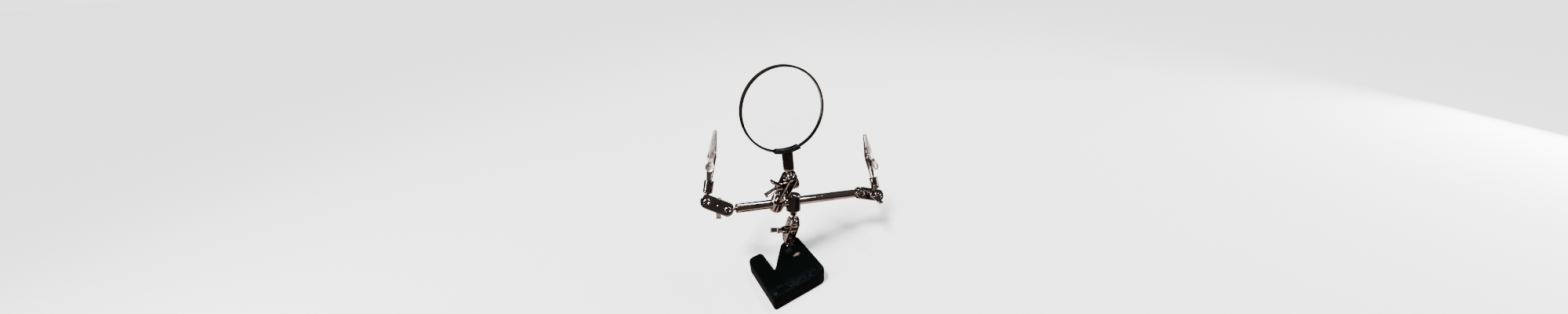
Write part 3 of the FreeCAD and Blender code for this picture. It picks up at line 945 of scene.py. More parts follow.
# ------------------------------------------------------------------------------ sub-assemblies
@dataclass
class CastBase:
    """Rough cast base with rounded corners and a V notch beside its ball stud."""

    edge_round: float = 1.1 * MM
    arm_width: float = 15.4 * MM
    notch_depth: float = 24.4 * MM
    notch_root: float = 1.2 * MM
    lobe_angle: float = 50.0
    near_left: float = 2.2 * MM
    near_right: float = 8 * MM
    far_right: float = 4.5 * MM
    lobe_radius: float = 12 * MM
    root_radius: float = 0.54 * MM
    arm_radius: float = 4 * MM
    far_left: float = 5.5 * MM
    foot_bevel: float = 0.5 * MM
    foot_ease: float = 0.15 * MM
    voxel: float = 0.34 * MM
    roughness: float = 0.16 * MM
    coarse: tuple[float, float] = (420.0, 0.55)
    fine: tuple[float, float] = (1700.0, 0.25)
    lumps: tuple[float, float] = (120.0, 0.5)

    def corners(self, inset: float) -> list[tuple[float, float, float]]:
        """The outline's corners at an inset.

        Args:
            inset: Distance in from the side wall.

        Returns:
            (x, y, radius) of each corner; at the notch's hollow root the radius starts below 0.
        """
        low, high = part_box("base_casting")
        arm = low.x + self.arm_width
        root = high.y - self.notch_depth
        lobe = arm + self.notch_root + self.notch_depth / math.tan(math.radians(self.lobe_angle))
        plain = [
            (low.x, low.y, self.near_left), (high.x, low.y, self.near_right),
            (high.x, high.y, self.far_right), (lobe, high.y, self.lobe_radius),
            (arm + self.notch_root, root, -self.root_radius), (arm, root, -self.root_radius),
            (arm, high.y, self.arm_radius), (low.x, high.y, self.far_left),
        ]
        moved = []
        for index, (x, y, radius) in enumerate(plain):
            here = Vector((x, y))
            before = (here - Vector(plain[index - 1][:2])).normalized()
            after = (Vector(plain[(index + 1) % len(plain)][:2]) - here).normalized()
            left = Vector((-before.y, before.x))
            other = Vector((-after.y, after.x))
            shift = (left + other) / (1 + left.dot(other))
            place = here + shift * inset
            moved.append((place.x, place.y, max(abs(radius) - math.copysign(inset, radius),
                                                0.05 * MM)))
        return moved

    def build(self) -> None:
        """Model the casting."""
        low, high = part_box("base_casting")
        rings = [(self.foot_bevel, low.z), (self.foot_ease, low.z + self.foot_ease),
                 (0.0, low.z + self.foot_bevel)]
        for step in range(7):
            angle = math.pi / 2 * step / 6
            rings.append((self.edge_round * (1 - math.cos(angle)),
                          high.z - self.edge_round * (1 - math.sin(angle))))
        sections = [[Vector((x, y, height)) for x, y in rounded_loop(self.corners(inset))]
                    for inset, height in rings]
        mesh = mesh_from("cast_base", loft(sections))
        mesh = with_modifier(mesh, "REMESH", mode="VOXEL", voxel_size=self.voxel)
        mesh = with_modifier(mesh, "SMOOTH", factor=0.5, iterations=3)
        self.roughen(mesh, low.z)
        smooth_mesh(mesh, 80)
        put("cast_base", mesh, Seat(Vector(), Vector((0, 0, 1)), Vector((1, 0, 0))), "base",
            Slot.CAST, ["base_casting"])

    def roughen(self, mesh: bpy.types.Mesh, floor: float) -> None:
        """Give the casting its sand-cast surface, with its foot left flat.

        Args:
            mesh: The mesh to change.
            floor: Height of its underside.
        """
        coarse_scale, coarse_share = self.coarse
        fine_scale, fine_share = self.fine
        lump_scale, lump_share = self.lumps
        normals = [vert.normal.copy() for vert in mesh.vertices]
        for vert, normal in zip(mesh.vertices, normals):
            if vert.co.z < floor + 0.3 * MM:
                continue
            coarse = noise.fractal(vert.co * coarse_scale, 1.0, 2.1, 3)
            fine = noise.noise(vert.co * fine_scale)
            lump = noise.noise(vert.co * lump_scale)
            shift = coarse_share * coarse + fine_share * fine + lump_share * lump
            vert.co += normal * (self.roughness * shift)


@dataclass
class BallStud:
    """Ball on a necked stud that enters its holder along +Z."""

    name: str
    body: str
    seat: Seat
    neck_end: float
    shank: float
    shank_length: float = 5 * MM
    ball: float = 4.5 * MM
    neck: float = 1.65 * MM
    fillet: float = 0.5 * MM
    end_bevel: float = 0.3 * MM
    extra: Profile = ()

    def build(self) -> None:
        """Model the stud."""
        start = math.degrees(math.asin(self.neck / self.ball))
        profile = arc((0, 0), self.ball, -90, 90 - start - 5, 34)
        waist = self.ball * math.cos(math.radians(start)) + 0.75 * MM
        fillet = arc((self.neck + self.fillet, waist), self.fillet, 235, 180, 5)
        profile = [(max(radius, 0.0), height) for radius, height in profile] + fillet
        profile.append((self.neck, self.neck_end - 0.25 * MM))
        if self.extra:
            profile.extend(self.extra)
        else:
            profile += [(self.neck - 0.05 * MM, self.neck_end),
                        (self.shank, self.neck_end + 0.1 * MM)]
        end = self.neck_end + self.shank_length
        profile += [(self.shank, end - self.end_bevel), (self.shank - self.end_bevel, end),
                    (0, end)]
        put(self.name, mesh_from(self.name, lathe(profile, 64)), self.seat, self.body,
            Slot.DARK, [self.name])


@dataclass
class Knuckle:
    """Two crowned plates that pinch two balls."""

    names: tuple[str, str]
    body: str
    first: Vector
    second: Vector
    normal: Vector
    length: float = 29.5 * MM
    width: float = 11.8 * MM
    corner: float = 5.2 * MM
    inner: float = 3.3 * MM
    outer: float = 4.6 * MM
    spacing: float = 19.5 * MM
    window: float = 2.6 * MM
    lip: float = 0.5 * MM
    edge: float = 0.85 * MM
    crown: float = 0.16 * MM
    dish: float = 0.14 * MM
    dish_reach: float = 3.2 * MM
    ball_seat: float = 4.6 * MM
    inner_edge: float = 0.25 * MM
    bore: float = 1.6 * MM
    bore_ring: float = 1.9 * MM
    pitch: float = 0.75 * MM

    def outline(self, inset: float) -> list[tuple[float, float]]:
        """The plate's outline at an inset.

        Args:
            inset: Distance in from the edge.

        Returns:
            The outline.
        """
        x = self.length / 2 - inset
        y = self.width / 2 - inset
        radius = max(self.corner - inset, 0.2 * MM)
        return rounded_loop([(-x, -y, radius), (x, -y, radius), (x, y, radius), (-x, y, radius)], 9)

    def build(self) -> None:
        """Model both plates."""
        distance = edge_distance(self.outline(0))
        half = self.spacing / 2

        def top(x: float, y: float) -> float:
            """Height of the crowned outer face.

            Args:
                x: Place along the plate.
                y: Place across the plate.

            Returns:
                The height above the balls' middle plane.
            """
            height = self.outer - rounded_fall(distance(x, y), self.edge)
            height -= self.crown * (y / (self.width / 2)) ** 2
            for centre in (-half, half):
                reach = math.hypot(x - centre, y) - self.window
                height -= rounded_fall(max(reach, 0), self.lip)
            centre_reach = math.hypot(x, y)
            height -= self.dish * math.exp(-(centre_reach / self.dish_reach) ** 2)
            return height

        def bottom(x: float, y: float) -> float:
            """Height of the inner face, dished where it seats a ball.

            Args:
                x: Place along the plate.
                y: Place across the plate.

            Returns:
                The height above the balls' middle plane.
            """
            height = self.inner + rounded_fall(distance(x, y), self.inner_edge)
            for centre in (-half, half):
                reach = math.hypot(x - centre, y)
                if reach < self.ball_seat:
                    height = max(height, math.sqrt(self.ball_seat ** 2 - reach ** 2))
            return height

        insets = [share * MM for share in (0, 0.04, 0.13, 0.26, 0.42, 0.62, 0.85, 1.15)]
        radii = [self.window + share * MM for share in (0, 0.05, 0.14, 0.28, 0.5, 0.6, 0.9)]
        holes = [((-half, 0), radii), ((half, 0), radii), ((0, 0), [self.bore, self.bore_ring])]
        middle = (self.first + self.second) / 2
        along = self.second - self.first
        for name, side in zip(self.names, (1, -1)):
            plate = slab(self.outline, insets, holes, self.pitch, top, bottom)
            put(name, mesh_from(name, plate), Seat(middle, self.normal * side, along), self.body,
                Slot.DARK, [name])


@dataclass
class WingScrew:
    """Cast wing screw: two strip ears with beaded ends stand up from a domed hub."""

    name: str
    body: str
    middle: Vector
    axis: Vector
    shank_end: float = -4.55 * MM
    seat_height: float = 4.66 * MM
    root: tuple[float, float] = (1.6 * MM, 2.6 * MM)
    tip: tuple[float, float] = (8.6 * MM, 12.0 * MM)
    bead: float = 1.05 * MM
    ear_width: float = 4.6 * MM
    ear_half: float = 0.75 * MM
    ear_edge: float = 0.4 * MM
    bead_edge: float = 0.35 * MM
    shank_radius: float = 1.5 * MM
    voxel: float = 0.14 * MM

    def build(self) -> None:
        """Model the screw."""
        shells = [self.hub()]
        for side in (1, -1):
            shells += [self.ear(side), self.ear_bead(side)]
        head = join(shells, self.name)
        head = with_modifier(head, "REMESH", mode="VOXEL", voxel_size=self.voxel)
        head = with_modifier(head, "SMOOTH", factor=0.5, iterations=6)
        whole = bmesh.new()
        whole.from_mesh(head)
        bpy.data.meshes.remove(head)
        mesh = join([whole, self.shank()], self.name)
        smooth_mesh(mesh, 50)
        ears = spread_axis(self.name, across=self.axis)
        put(self.name, mesh, Seat(self.middle, self.axis, ears), self.body, Slot.DARK, [self.name])

    def hub(self) -> bmesh.types.BMesh:
        """The domed hub.

        Returns:
            Its shell.
        """
        outline = [(0, 0), (3.35, 0), (3.62, 0.2), (3.7, 0.6), (3.7, 2.4), (3.6, 3.2), (3.3, 4.1),
                   (2.8, 4.8), (2.1, 5.3), (1.1, 5.56), (0, 5.6)]
        return lathe([(radius * MM, self.seat_height + height * MM) for radius, height in outline],
                     64)

    def shank(self) -> bmesh.types.BMesh:
        """The shank with its dimpled end.

        Returns:
            Its shell.
        """
        end = self.shank_end
        seat = self.seat_height
        return lathe([
            (0, end + 0.45 * MM), (0.55 * MM, end + 0.2 * MM), (1.05 * MM, end + 0.02 * MM),
            (1.25 * MM, end), (self.shank_radius, end + 0.25 * MM),
            (self.shank_radius, seat + 0.3 * MM),
            (0, seat + 0.3 * MM),
        ], 40)

    def ear(self, side: int) -> bmesh.types.BMesh:
        """One strip ear, thicker at its root.

        Args:
            side: 1 or -1 along X.

        Returns:
            Its shell.
        """
        root = Vector((side * self.root[0], 0, self.seat_height + self.root[1]))
        tip = Vector((side * self.tip[0], 0, self.seat_height + self.tip[1]))
        along = (tip - root).normalized()
        across = Vector((-along.z, 0, along.x))
        sections = []
        for step in range(13):
            share = step / 12
            half = self.ear_half * (1 + 0.55 * (1 - share) ** 2)
            wide = self.ear_width / 2 * (0.86 + 0.14 * share)
            loop = rounded_loop([(-half, -wide, self.ear_edge), (half, -wide, self.ear_edge),
                                 (half, wide, self.ear_edge), (-half, wide, self.ear_edge)], 4)
            spot = root.lerp(tip, share)
            sections.append([spot + across * x + Vector((0, y, 0)) for x, y in loop])
        return loft(sections)

    def ear_bead(self, side: int) -> bmesh.types.BMesh:
        """The round bead along an ear's end.

        Args:
            side: 1 or -1 along X.

        Returns:
            Its shell.
        """
        half = self.ear_width / 2
        soft = self.bead_edge
        build = lathe([(0, -half), (self.bead - soft, -half), (self.bead, -half + soft),
                       (self.bead, half - soft), (self.bead - soft, half), (0, half)], 28)
        spot = Vector((side * self.tip[0], 0, self.seat_height + self.tip[1]))
        turn = Matrix.Translation(spot) @ Matrix.Rotation(math.pi / 2, 4, "X")
        bmesh.ops.transform(build, matrix=turn, verts=build.verts)
        return build


@dataclass
class GroovedNut:
    """Round nut with fine grooves on the back of the magnifier's knuckle."""

    name: str
    body: str
    seat: Seat
    face: float = -4.6 * MM
    neck_length: float = 1.4 * MM
    head_length: float = 5.2 * MM
    radius: float = 4.9 * MM
    neck_radius: float = 3.4 * MM
    bore: float = 1.6 * MM
    groove_depth: float = 0.32 * MM
    groove_count: int = 24

    def build(self) -> None:
        """Model the nut."""
        top = self.face
        neck = top - self.neck_length
        foot = neck - self.head_length

        def grooves(angle: float, height: float) -> float:
            """Depth of the grooves, which stop short of both ends of the head.

            Args:
                angle: Angle round the nut.
                height: Height along the nut.

            Returns:
                The radial change.
            """
            if not foot + 0.5 * MM < height < neck - 0.3 * MM:
                return 0.0
            return -self.groove_depth * max(0.0, math.cos(self.groove_count * angle)) ** 3

        build = lathe([
            (self.bore, foot + 0.2 * MM), (1.8 * MM, foot), (4.1 * MM, foot),
            (4.6 * MM, foot + 0.22 * MM), (4.88 * MM, foot + 0.8 * MM),
            (self.radius, foot + 1.0 * MM), (self.radius, neck - 0.5 * MM),
            (4.7 * MM, neck - 0.12 * MM), (4.4 * MM, neck), (self.neck_radius, neck),
            (self.neck_radius, top - 0.1 * MM), (3.3 * MM, top), (self.bore, top),
            (self.bore, foot + 0.2 * MM),
        ], 240, grooves)
        put(self.name, mesh_from(self.name, build), self.seat, self.body, Slot.DARK, [self.name])


@dataclass
class BarClamp:
    """Turned clamp, domed on one side of the bar and collared on the other."""

    name: str
    body: str
    seat: Seat
    dome_height: float = 7.8 * MM
    collar_depth: float = 8.8 * MM
    foot_length: float = 4.6 * MM
    radius: float = 6.9 * MM
    bore: float = 4.15 * MM
    bore_half: float = 5.1 * MM
    mouth: float = 5.4 * MM
    mouth_half: float = 9 * MM

    def build(self) -> None:
        """Model the clamp."""
        over = self.dome_height
        under = -self.collar_depth
        foot = under - self.foot_length
        profile = [(0, foot + 0.05 * MM), (2.7 * MM, foot), (2.9 * MM, foot + 0.2 * MM)]
        profile += [(4.1 * MM, under - 0.35 * MM), (4.4 * MM, under)]
        profile += arc((6.1 * MM, under + 0.8 * MM), 0.8 * MM, -90, 0, 6)
        profile += [(self.radius, under + 2.4 * MM), (self.radius, -2 * MM),
                    (self.radius, 2 * MM)]
        profile += arc((4.5 * MM, over - 2.6 * MM), 2.4 * MM, 0, 78, 12)
        profile += [(3.6 * MM, over - 0.06 * MM), (1.8 * MM, over), (0, over + 0.02 * MM)]
        mesh = mesh_from(self.name, lathe(profile, 128))
        bore = lathe([(0, -self.mouth_half), (self.mouth, -self.mouth_half),
                      (self.bore, -self.bore_half), (self.bore, self.bore_half),
                      (self.mouth, self.mouth_half), (0, self.mouth_half)], 96)
        cutter = bpy.data.meshes.new("bore")
        bmesh.ops.recalc_face_normals(bore, faces=bore.faces)
        bore.to_mesh(cutter)
        bore.free()
        cutter.transform(Matrix.Rotation(math.pi / 2, 4, "Y"))
        mesh = drilled(mesh, [cutter])
        put(self.name, mesh, self.seat, self.body, Slot.DARK, [self.name])


@dataclass
class CrossBar:
    """Bright tube between the two end caps."""

    middle: Vector
    axis: Vector
    across: Vector
    length: float = 115.08 * MM
    outer: float = 4.1 * MM
    inner: float = 3.1 * MM
    lip: float = 0.12 * MM

    def build(self) -> None:
        """Model the tube."""
        half = self.length / 2
        shoulder = self.outer - self.lip
        rows = [(self.outer, -half + self.length * step / 24) for step in range(1, 24)]
        profile = [(self.inner, -half), (shoulder, -half), (self.outer, -half + self.lip)] + rows
        profile += [(self.outer, half - self.lip), (shoulder, half), (self.inner, half),
                    (self.inner, -half)]
        put("crossbar_tube", mesh_from("crossbar_tube", lathe(profile, 128)),
            Seat(self.middle, self.axis, self.across), "crossbar", Slot.BRIGHT, ["crossbar_tube"])


@dataclass
class Magnifier:
    """Rimmed lens on a saddle and a round stem."""

    body: str = "magnifier_head"
    rim: float = 33.7 * MM
    width: float = 4.6 * MM
    rim_wall: float = 1.8 * MM
    groove_depth: float = 0.7 * MM
    groove_half: float = 1.1 * MM
    glass_edge: float = 1.12 * MM
    glass_clear: float = 1.9 * MM
    glass_half: float = 1.08 * MM
    glass_sag: float = 2.1 * MM
    bracket: float = 1.1 * MM
    bracket_gap: float = 0.02 * MM
    bracket_reach: float = 18.5
    bracket_depth: float = 3.0 * MM
    bracket_round: float = 0.35 * MM
    stem_length: float = 15.6 * MM
    stem_radius: float = 4.5 * MM
    stem_shoulder: float = 1.2 * MM
    seat: Seat = field(init=False)

    def __post_init__(self) -> None:
        """Find the lens's place and direction."""
        normal = spread_axis("magnifier_lens", widest=False)
        if normal.y > 0:
            normal = -normal
        stem = joint_axis("magnifier_stem_twist")
        self.seat = Seat(node_middle("magnifier_lens"), normal, -stem)

    def build(self) -> None:
        """Model the rim, the glass, the saddle and the stem."""
        self.build_rim()
        self.build_glass()
        self.build_saddle()
        self.build_stem()

    def build_rim(self) -> None:
        """Model the rolled rim with its inner groove."""
        bore = self.rim - self.rim_wall
        half = self.width / 2
        groove = bore + self.groove_depth
        section = [(bore, -half + 0.35 * MM), (bore + 0.12 * MM, -half + 0.1 * MM),
                   (bore + 0.4 * MM, -half), (self.rim - 0.6 * MM, -half),
                   (self.rim - 0.2 * MM, -half + 0.15 * MM), (self.rim, -half + 0.6 * MM),
                   (self.rim, 0), (self.rim, half - 0.6 * MM),
                   (self.rim - 0.2 * MM, half - 0.15 * MM), (self.rim - 0.6 * MM, half),
                   (bore + 0.4 * MM, half), (bore + 0.12 * MM, half - 0.1 * MM),
                   (bore, half - 0.35 * MM), (bore, self.groove_half), (groove, self.groove_half),
                   (groove, -self.groove_half), (bore, -self.groove_half)]
        put("magnifier_rim", mesh_from("magnifier_rim", closed_lathe(section, 200)), self.seat,
            self.body, Slot.DARK, ["magnifier_rim"])

    def build_glass(self) -> None:
        """Model the double-convex glass."""
        clear = self.rim - self.glass_clear
        radius = self.rim - self.glass_edge
        half_edge = self.glass_half
        sag = self.glass_sag
        curve = (clear * clear + sag * sag) / (2 * sag)
        front = []
        for step in range(37):
            reach = clear * step / 36
            front.append((reach, half_edge + sag - (curve - math.sqrt(curve ** 2 - reach ** 2))))
        back = [(reach, -height) for reach, height in front]
        profile = back + [(radius, -half_edge), (radius, half_edge)] + list(reversed(front))
        put("magnifier_lens", mesh_from("magnifier_lens", lathe(profile, 200)), self.seat,
            self.body, Slot.GLASS, ["magnifier_lens"])

    def build_saddle(self) -> None:
        """Model the pressed bracket round the rim."""
        half_slot = self.width / 2 + self.bracket_gap
        outer_half = self.width / 2 + self.bracket
        outside = self.rim + self.bracket
        slot_floor = self.rim + self.bracket_gap
        reach = math.radians(self.bracket_reach)
        round_off = self.bracket_round
        steps = 40
        sections = []
        for step in range(steps + 1):
            angle = reach * (2 * step / steps - 1)
            end = min(1.0, (1 - abs(2 * step / steps - 1)) / 0.16)
            ease = math.sqrt(max(1 - (1 - end) ** 2, 0.0))
            inner = self.rim - self.bracket_depth * (0.35 + 0.65 * ease)
            ring = [(inner, half_slot), (inner, outer_half - round_off),
                    (inner + round_off, outer_half), (outside - 1.0 * MM, outer_half),
                    (outside - 0.3 * MM, outer_half - 0.3 * MM), (outside, outer_half - 1.0 * MM),
                    (outside, 0), (outside, -outer_half + 1.0 * MM),
                    (outside - 0.3 * MM, -outer_half + 0.3 * MM), (outside - 1.0 * MM, -outer_half),
                    (inner + round_off, -outer_half), (inner, -outer_half + round_off),
                    (inner, -half_slot), (slot_floor, -half_slot), (slot_floor, half_slot)]
            sections.append([Vector((radius * math.cos(angle), radius * math.sin(angle), height))
                             for radius, height in ring])
        put("magnifier_saddle", mesh_from("magnifier_saddle", loft(sections)), self.seat, self.body,
            Slot.PAINT, ["magnifier_saddle"])

    def build_stem(self) -> None:
        """Model the round stem, hollowed to the saddle's curve."""
        outside = self.rim + self.bracket
        foot = outside + self.stem_length
        radius = self.stem_radius
        rounding = [(radius - 0.35 * MM, foot - 0.5 * MM), (radius - 0.9 * MM, foot - 0.08 * MM),
                    (radius - 1.4 * MM, foot)]
        segments = 72
        angles = [2 * math.pi * index / segments for index in range(segments)]
        sections = []
        for level in range(5):
            ring = []
            for angle in angles:
                y = radius * math.cos(angle)
                z = radius * math.sin(angle)
                start = math.sqrt(outside ** 2 - y ** 2) - 0.05 * MM
                x = start + (foot - self.stem_shoulder - start) * level / 4
                ring.append(Vector((x, y, z)))
            sections.append(ring)
        for reach, height in rounding:
            sections.append([Vector((height, reach * math.cos(angle), reach * math.sin(angle)))
                             for angle in angles])
        put("magnifier_stem", mesh_from("magnifier_stem", loft(sections)), self.seat, self.body,
            Slot.DARK, ["magnifier_stem"])


@dataclass
class ClipArm:
    """Spring clip: turned socket, two pressed jaws, pivot pin and torsion spring."""

    side: Side
    sheet: float = 0.7 * MM
    foot: float = 6.7 * MM
    socket_top: float = 18.3 * MM
    tip: float = 62.5 * MM
    pivot: float = 39.3 * MM
    pad_end: float = 25.6 * MM
    pad: float = 4.0 * MM
    socket_radius: float = 4.2 * MM
    socket_bore: float = 2.6 * MM
    socket_depth: float = 5.5 * MM
    tooth_pitch: float = 1.5 * MM
    tooth_count: int = 9
    tooth_root: float = 0.78 * MM
    tooth_peak: float = 0.08 * MM
    tip_cap: float = 0.12 * MM
    pin_half: float = 3.52 * MM
    wire: float = 0.34 * MM
    coil: float = 1.74 * MM
    coil_turns: int = 4
    coil_pitch: float = 0.72 * MM
    leg_offset: float = -1.44 * MM
    seat: Seat = field(init=False)

    def __post_init__(self) -> None:
        """Find the clip's place and direction."""
        prefix = self.side.value
        along = joint_axis(f"{prefix}_clip_twist")
        lever = joint_axis(f"{prefix}_jaw_open").cross(along)
        self.seat = Seat(joint_point(f"{prefix}_clip_twist"), along, lever)

    def name(self, part: str) -> str:
        """Name of one of the clip's nodes.

        Args:
            part: The part's own name.

        Returns:
            The node's name.
        """
        return f"{self.side.value}_clip_{part}"

    def build(self) -> None:
        """Model the clip."""
        clip = f"{self.side.value}_clip"
        put(self.name("socket"), self.socket(), self.seat, clip, Slot.DARK, [self.name("socket")])
        put(self.name("fixed_jaw"), self.jaw(Jaw.FIXED), self.seat, clip, Slot.WIRE,
            [self.name("fixed_jaw")])
        put(self.name("lever_jaw"), self.jaw(Jaw.LEVER), self.seat, f"{self.side.value}_lever",
            Slot.SATIN, [self.name("lever_jaw")])
        put(self.name("pivot_pin"), self.pin(), self.seat, clip, Slot.SATIN,
            [self.name("pivot_pin")])
        put(self.name("spring"), self.spring(), self.seat, clip, Slot.WIRE, [self.name("spring")])
        put(self.name("spring_lever_leg"), self.lever_leg(), self.seat,
            f"{self.side.value}_lever", Slot.WIRE)

    def socket(self) -> bpy.types.Mesh:
        """The turned socket.

        Returns:
            Its mesh.
        """
        radius = self.socket_radius
        profile = [(0, self.foot), (2.5 * MM, self.foot), (2.72 * MM, self.foot + 0.06 * MM)]
        profile += [(4.0 * MM, self.foot + 1.25 * MM), (4.14 * MM, self.foot + 1.45 * MM),
                    (radius, self.foot + 1.75 * MM), (radius, self.foot + 5 * MM),
                    (radius, self.socket_top - 3 * MM), (radius, self.socket_top - 0.45 * MM),
                    (4.12 * MM, self.socket_top - 0.15 * MM), (3.9 * MM, self.socket_top),
                    (2.75 * MM, self.socket_top), (self.socket_bore, self.socket_top - 0.15 * MM),
                    (self.socket_bore, self.socket_top - self.socket_depth),
                    (0, self.socket_top - self.socket_depth)]
        return mesh_from("socket", lathe(profile, 96))

    def bite(self, jaw: Jaw) -> list[tuple[float, float]]:
        """Toothed edge of a jaw.

        Args:
            jaw: Which jaw.

        Returns:
            (height, depth) points from the rear tooth to the tip.
        """
        pitch = self.tooth_pitch
        count = self.tooth_count
        start = self.tip - pitch * count - 0.6 * MM
        root = jaw.value * self.tooth_root
        peak = jaw.value * self.tooth_peak
        points = []
        for index in range(count):
            points += [(start + pitch * index, root), (start + pitch * (index + 0.44), peak),
                       (start + pitch * (index + 0.56), peak)]
        return points + [(start + pitch * count, root), (self.tip, peak)]

    def jaw(self, jaw: Jaw) -> bpy.types.Mesh:
        """One pressed jaw.

        Args:
            jaw: Which jaw.

        Returns:
            Its mesh.
        """
        pivot = self.pivot
        if jaw is Jaw.FIXED:
            back = [(self.socket_top - 5 * MM, -2.45), (self.socket_top + 1 * MM, -2.5),
                    (self.pad_end + 1.5 * MM, -3.1), (pivot - 3.2 * MM, -3.6),
                    (pivot + 3 * MM, -3.5), (self.tip, -1.3)]
            half = [(self.socket_top - 5 * MM, 2.3), (self.socket_top + 0.5 * MM, 2.45),
                    (self.pad_end + 1.5 * MM, 3.1), (pivot - 3.2 * MM, 3.5), (pivot + 3 * MM, 3.5),
                    (self.tip, 1.5)]
            corner = [(self.socket_top - 5 * MM, 2.1), (self.socket_top + 1 * MM, 2.0),
                      (pivot - 5 * MM, 1.1), (self.tip, 0.8)]
            edge = [(self.socket_top - 5 * MM, 0.2), (self.pad_end + 1.5 * MM, 0.5),
                    (pivot - 3.6 * MM, 0.8), (pivot - 2.2 * MM, 1.45), (pivot - 1.0 * MM, 1.75),
                    (pivot + 1.0 * MM, 1.75), (pivot + 2.2 * MM, 1.3), (pivot + 3.4 * MM, 0.2),
                    (pivot + 4.6 * MM, -0.78)]
            dish = [(self.socket_top, 0.0), (self.tip, 0.0)]
        else:
            pad_middle = self.pad_end + self.pad
            back = [(self.pad_end, 6.35), (pad_middle, 6.3), (pad_middle + 2 * MM, 5.85),
                    (pivot - 2 * MM, 3.95), (pivot + 3.4 * MM, 3.6), (self.tip, 1.3)]
            half = self.pad_widths()
            corner = [(pivot - 4 * MM, 0.34), (pivot - 1.5 * MM, 0.9), (self.tip, 0.7)]
            edge = [(self.pad_end, 5.65), (pad_middle, 5.6), (pad_middle + 2 * MM, 5.15),
                    (pivot - 2.6 * MM, 3.5), (pivot - 1.9 * MM, 1.0), (pivot - 1.3 * MM, -1.2),
                    (pivot - 0.6 * MM, -1.5), (pivot + 1.2 * MM, -1.4), (pivot + 2.4 * MM, -0.6),
                    (pivot + 4.0 * MM, 0.78)]
            dish = [(self.pad_end, 0.15), (self.pad_end + 1.5 * MM, 0.6), (pad_middle, 0.85),
                    (pad_middle + 2.5 * MM, 0.5), (pad_middle + 4.5 * MM, 0.0), (self.tip, 0.0)]
        edge = [(height, depth * MM) for height, depth in edge] + self.bite(jaw)[1:]
        heights = {height for table in (back, half, corner, edge, dish) for height, _ in table}
        low = edge[0][0]
        heights |= {low + (self.tip - low) * step / 44 for step in range(45)}
        sections = []
        for height in sorted(heights):
            shape = [at(back, height) * MM, at(edge, height), at(half, height) * MM,
                     at(corner, height) * MM, at(dish, height) * MM]
            sections.append(self.channel(height, *shape, jaw))
        closing = sections[-1]
        middle = sum(closing, Vector()) / len(closing)
        cap_height = Vector((0, 0, self.tip_cap))
        sections.append([middle + (point - middle) * 0.8 + cap_height for point in closing])
        mesh = join([loft(sections), self.tip_block(jaw)], "jaw")
        smooth_mesh(mesh, 32)
        return mesh

    def pad_widths(self) -> list[tuple[float, float]]:
        """Half widths of the lever from its round pad to its tip.

        Returns:
            (height, half width in millimetres) points.
        """
        radius = self.pad / MM
        widths = []
        for step in range(17):
            angle = math.radians(180 - 138 * step / 16)
            widths.append((self.pad_end + self.pad * (1 + math.cos(angle)),
                           max(radius * math.sin(angle), 0.35)))
        return widths + [(self.pivot - 2.5 * MM, 2.65), (self.pivot + 3.4 * MM, 2.65),
                         (self.tip, 1.2)]

    def tip_block(self, jaw: Jaw) -> bmesh.types.BMesh:
        """Folded-in end that closes a jaw's channel at the tip.

        Args:
            jaw: Which jaw.

        Returns:
            The end as a bmesh.
        """
        half = (1.45 if jaw is Jaw.FIXED else 1.15) * MM
        side = jaw.value
        sections = []
        for height, shrink in ((self.tip - 0.85 * MM, 0.0), (self.tip - 0.1 * MM, 0.0),
                               (self.tip, 0.15 * MM)):
            wide = half - shrink
            ring = [(0.12 * MM + shrink, wide), (1.2 * MM - shrink, wide - 0.2 * MM),
                    (1.2 * MM - shrink, -wide + 0.2 * MM), (0.12 * MM + shrink, -wide)]
            sections.append([Vector((side * depth, y, height)) for depth, y in ring])
        return loft(sections)

    def channel(self, height: float, back: float, edge: float, half: float, corner: float,
                dish: float, jaw: Jaw) -> list[Vector]:
        """One cross-section of a pressed channel.

        Args:
            height: Height along the clip.
            back: Depth of the back's outside.
            edge: Depth of the side walls' free edges.
            half: Outside half width.
            corner: Outside radius between the back and the side walls.
            dish: How far the back is pressed in along its middle.
            jaw: Which jaw.

        Returns:
            The section's points.
        """
        way = -jaw.value
        wall = max((edge - back) * way, 0.1 * MM)
        corner = min(corner, wall * 0.48, half * 0.9)
        thick = min(self.sheet, wall)
        inner_half = max(half - self.sheet, 0.05 * MM)
        inner_corner = min(max(corner - self.sheet, 0.12 * MM), inner_half * 0.9)
        outer = self.channel_side(half, back, edge, corner, way)
        inner = self.channel_side(inner_half, back + way * thick * 0.999, edge, inner_corner, way)
        ring = outer + list(reversed(inner))
        points = []
        for y, depth in ring:
            press = dish * max(0.0, 1 - (y / max(half, 1e-9)) ** 2)
            points.append(Vector((depth + way * press, y, height)))
        return points

    @staticmethod
    def channel_side(half: float, back: float, edge: float, corner: float,
                     way: int) -> list[tuple[float, float]]:
        """One face of a channel section, from one free edge to the other.

        Args:
            half: Half width.
            back: Depth of the back.
            edge: Depth of the free edges.
            corner: Radius between them.
            way: Direction from the back to the free edges.

        Returns:
            (y, depth) points.
        """
        points = [(half, edge), (half, back + way * max(corner, abs(edge - back) * 0.5))]
        for step in range(6):
            angle = math.pi / 2 * step / 5
            points.append((half - corner * (1 - math.cos(angle)),
                           back + way * corner * (1 - math.sin(angle))))
        flat = half - corner
        for step in range(1, 10):
            points.append((flat * (1 - 2 * step / 10), back))
        mirrored = [(-y, depth) for y, depth in reversed(points[:8])]
        return points + mirrored

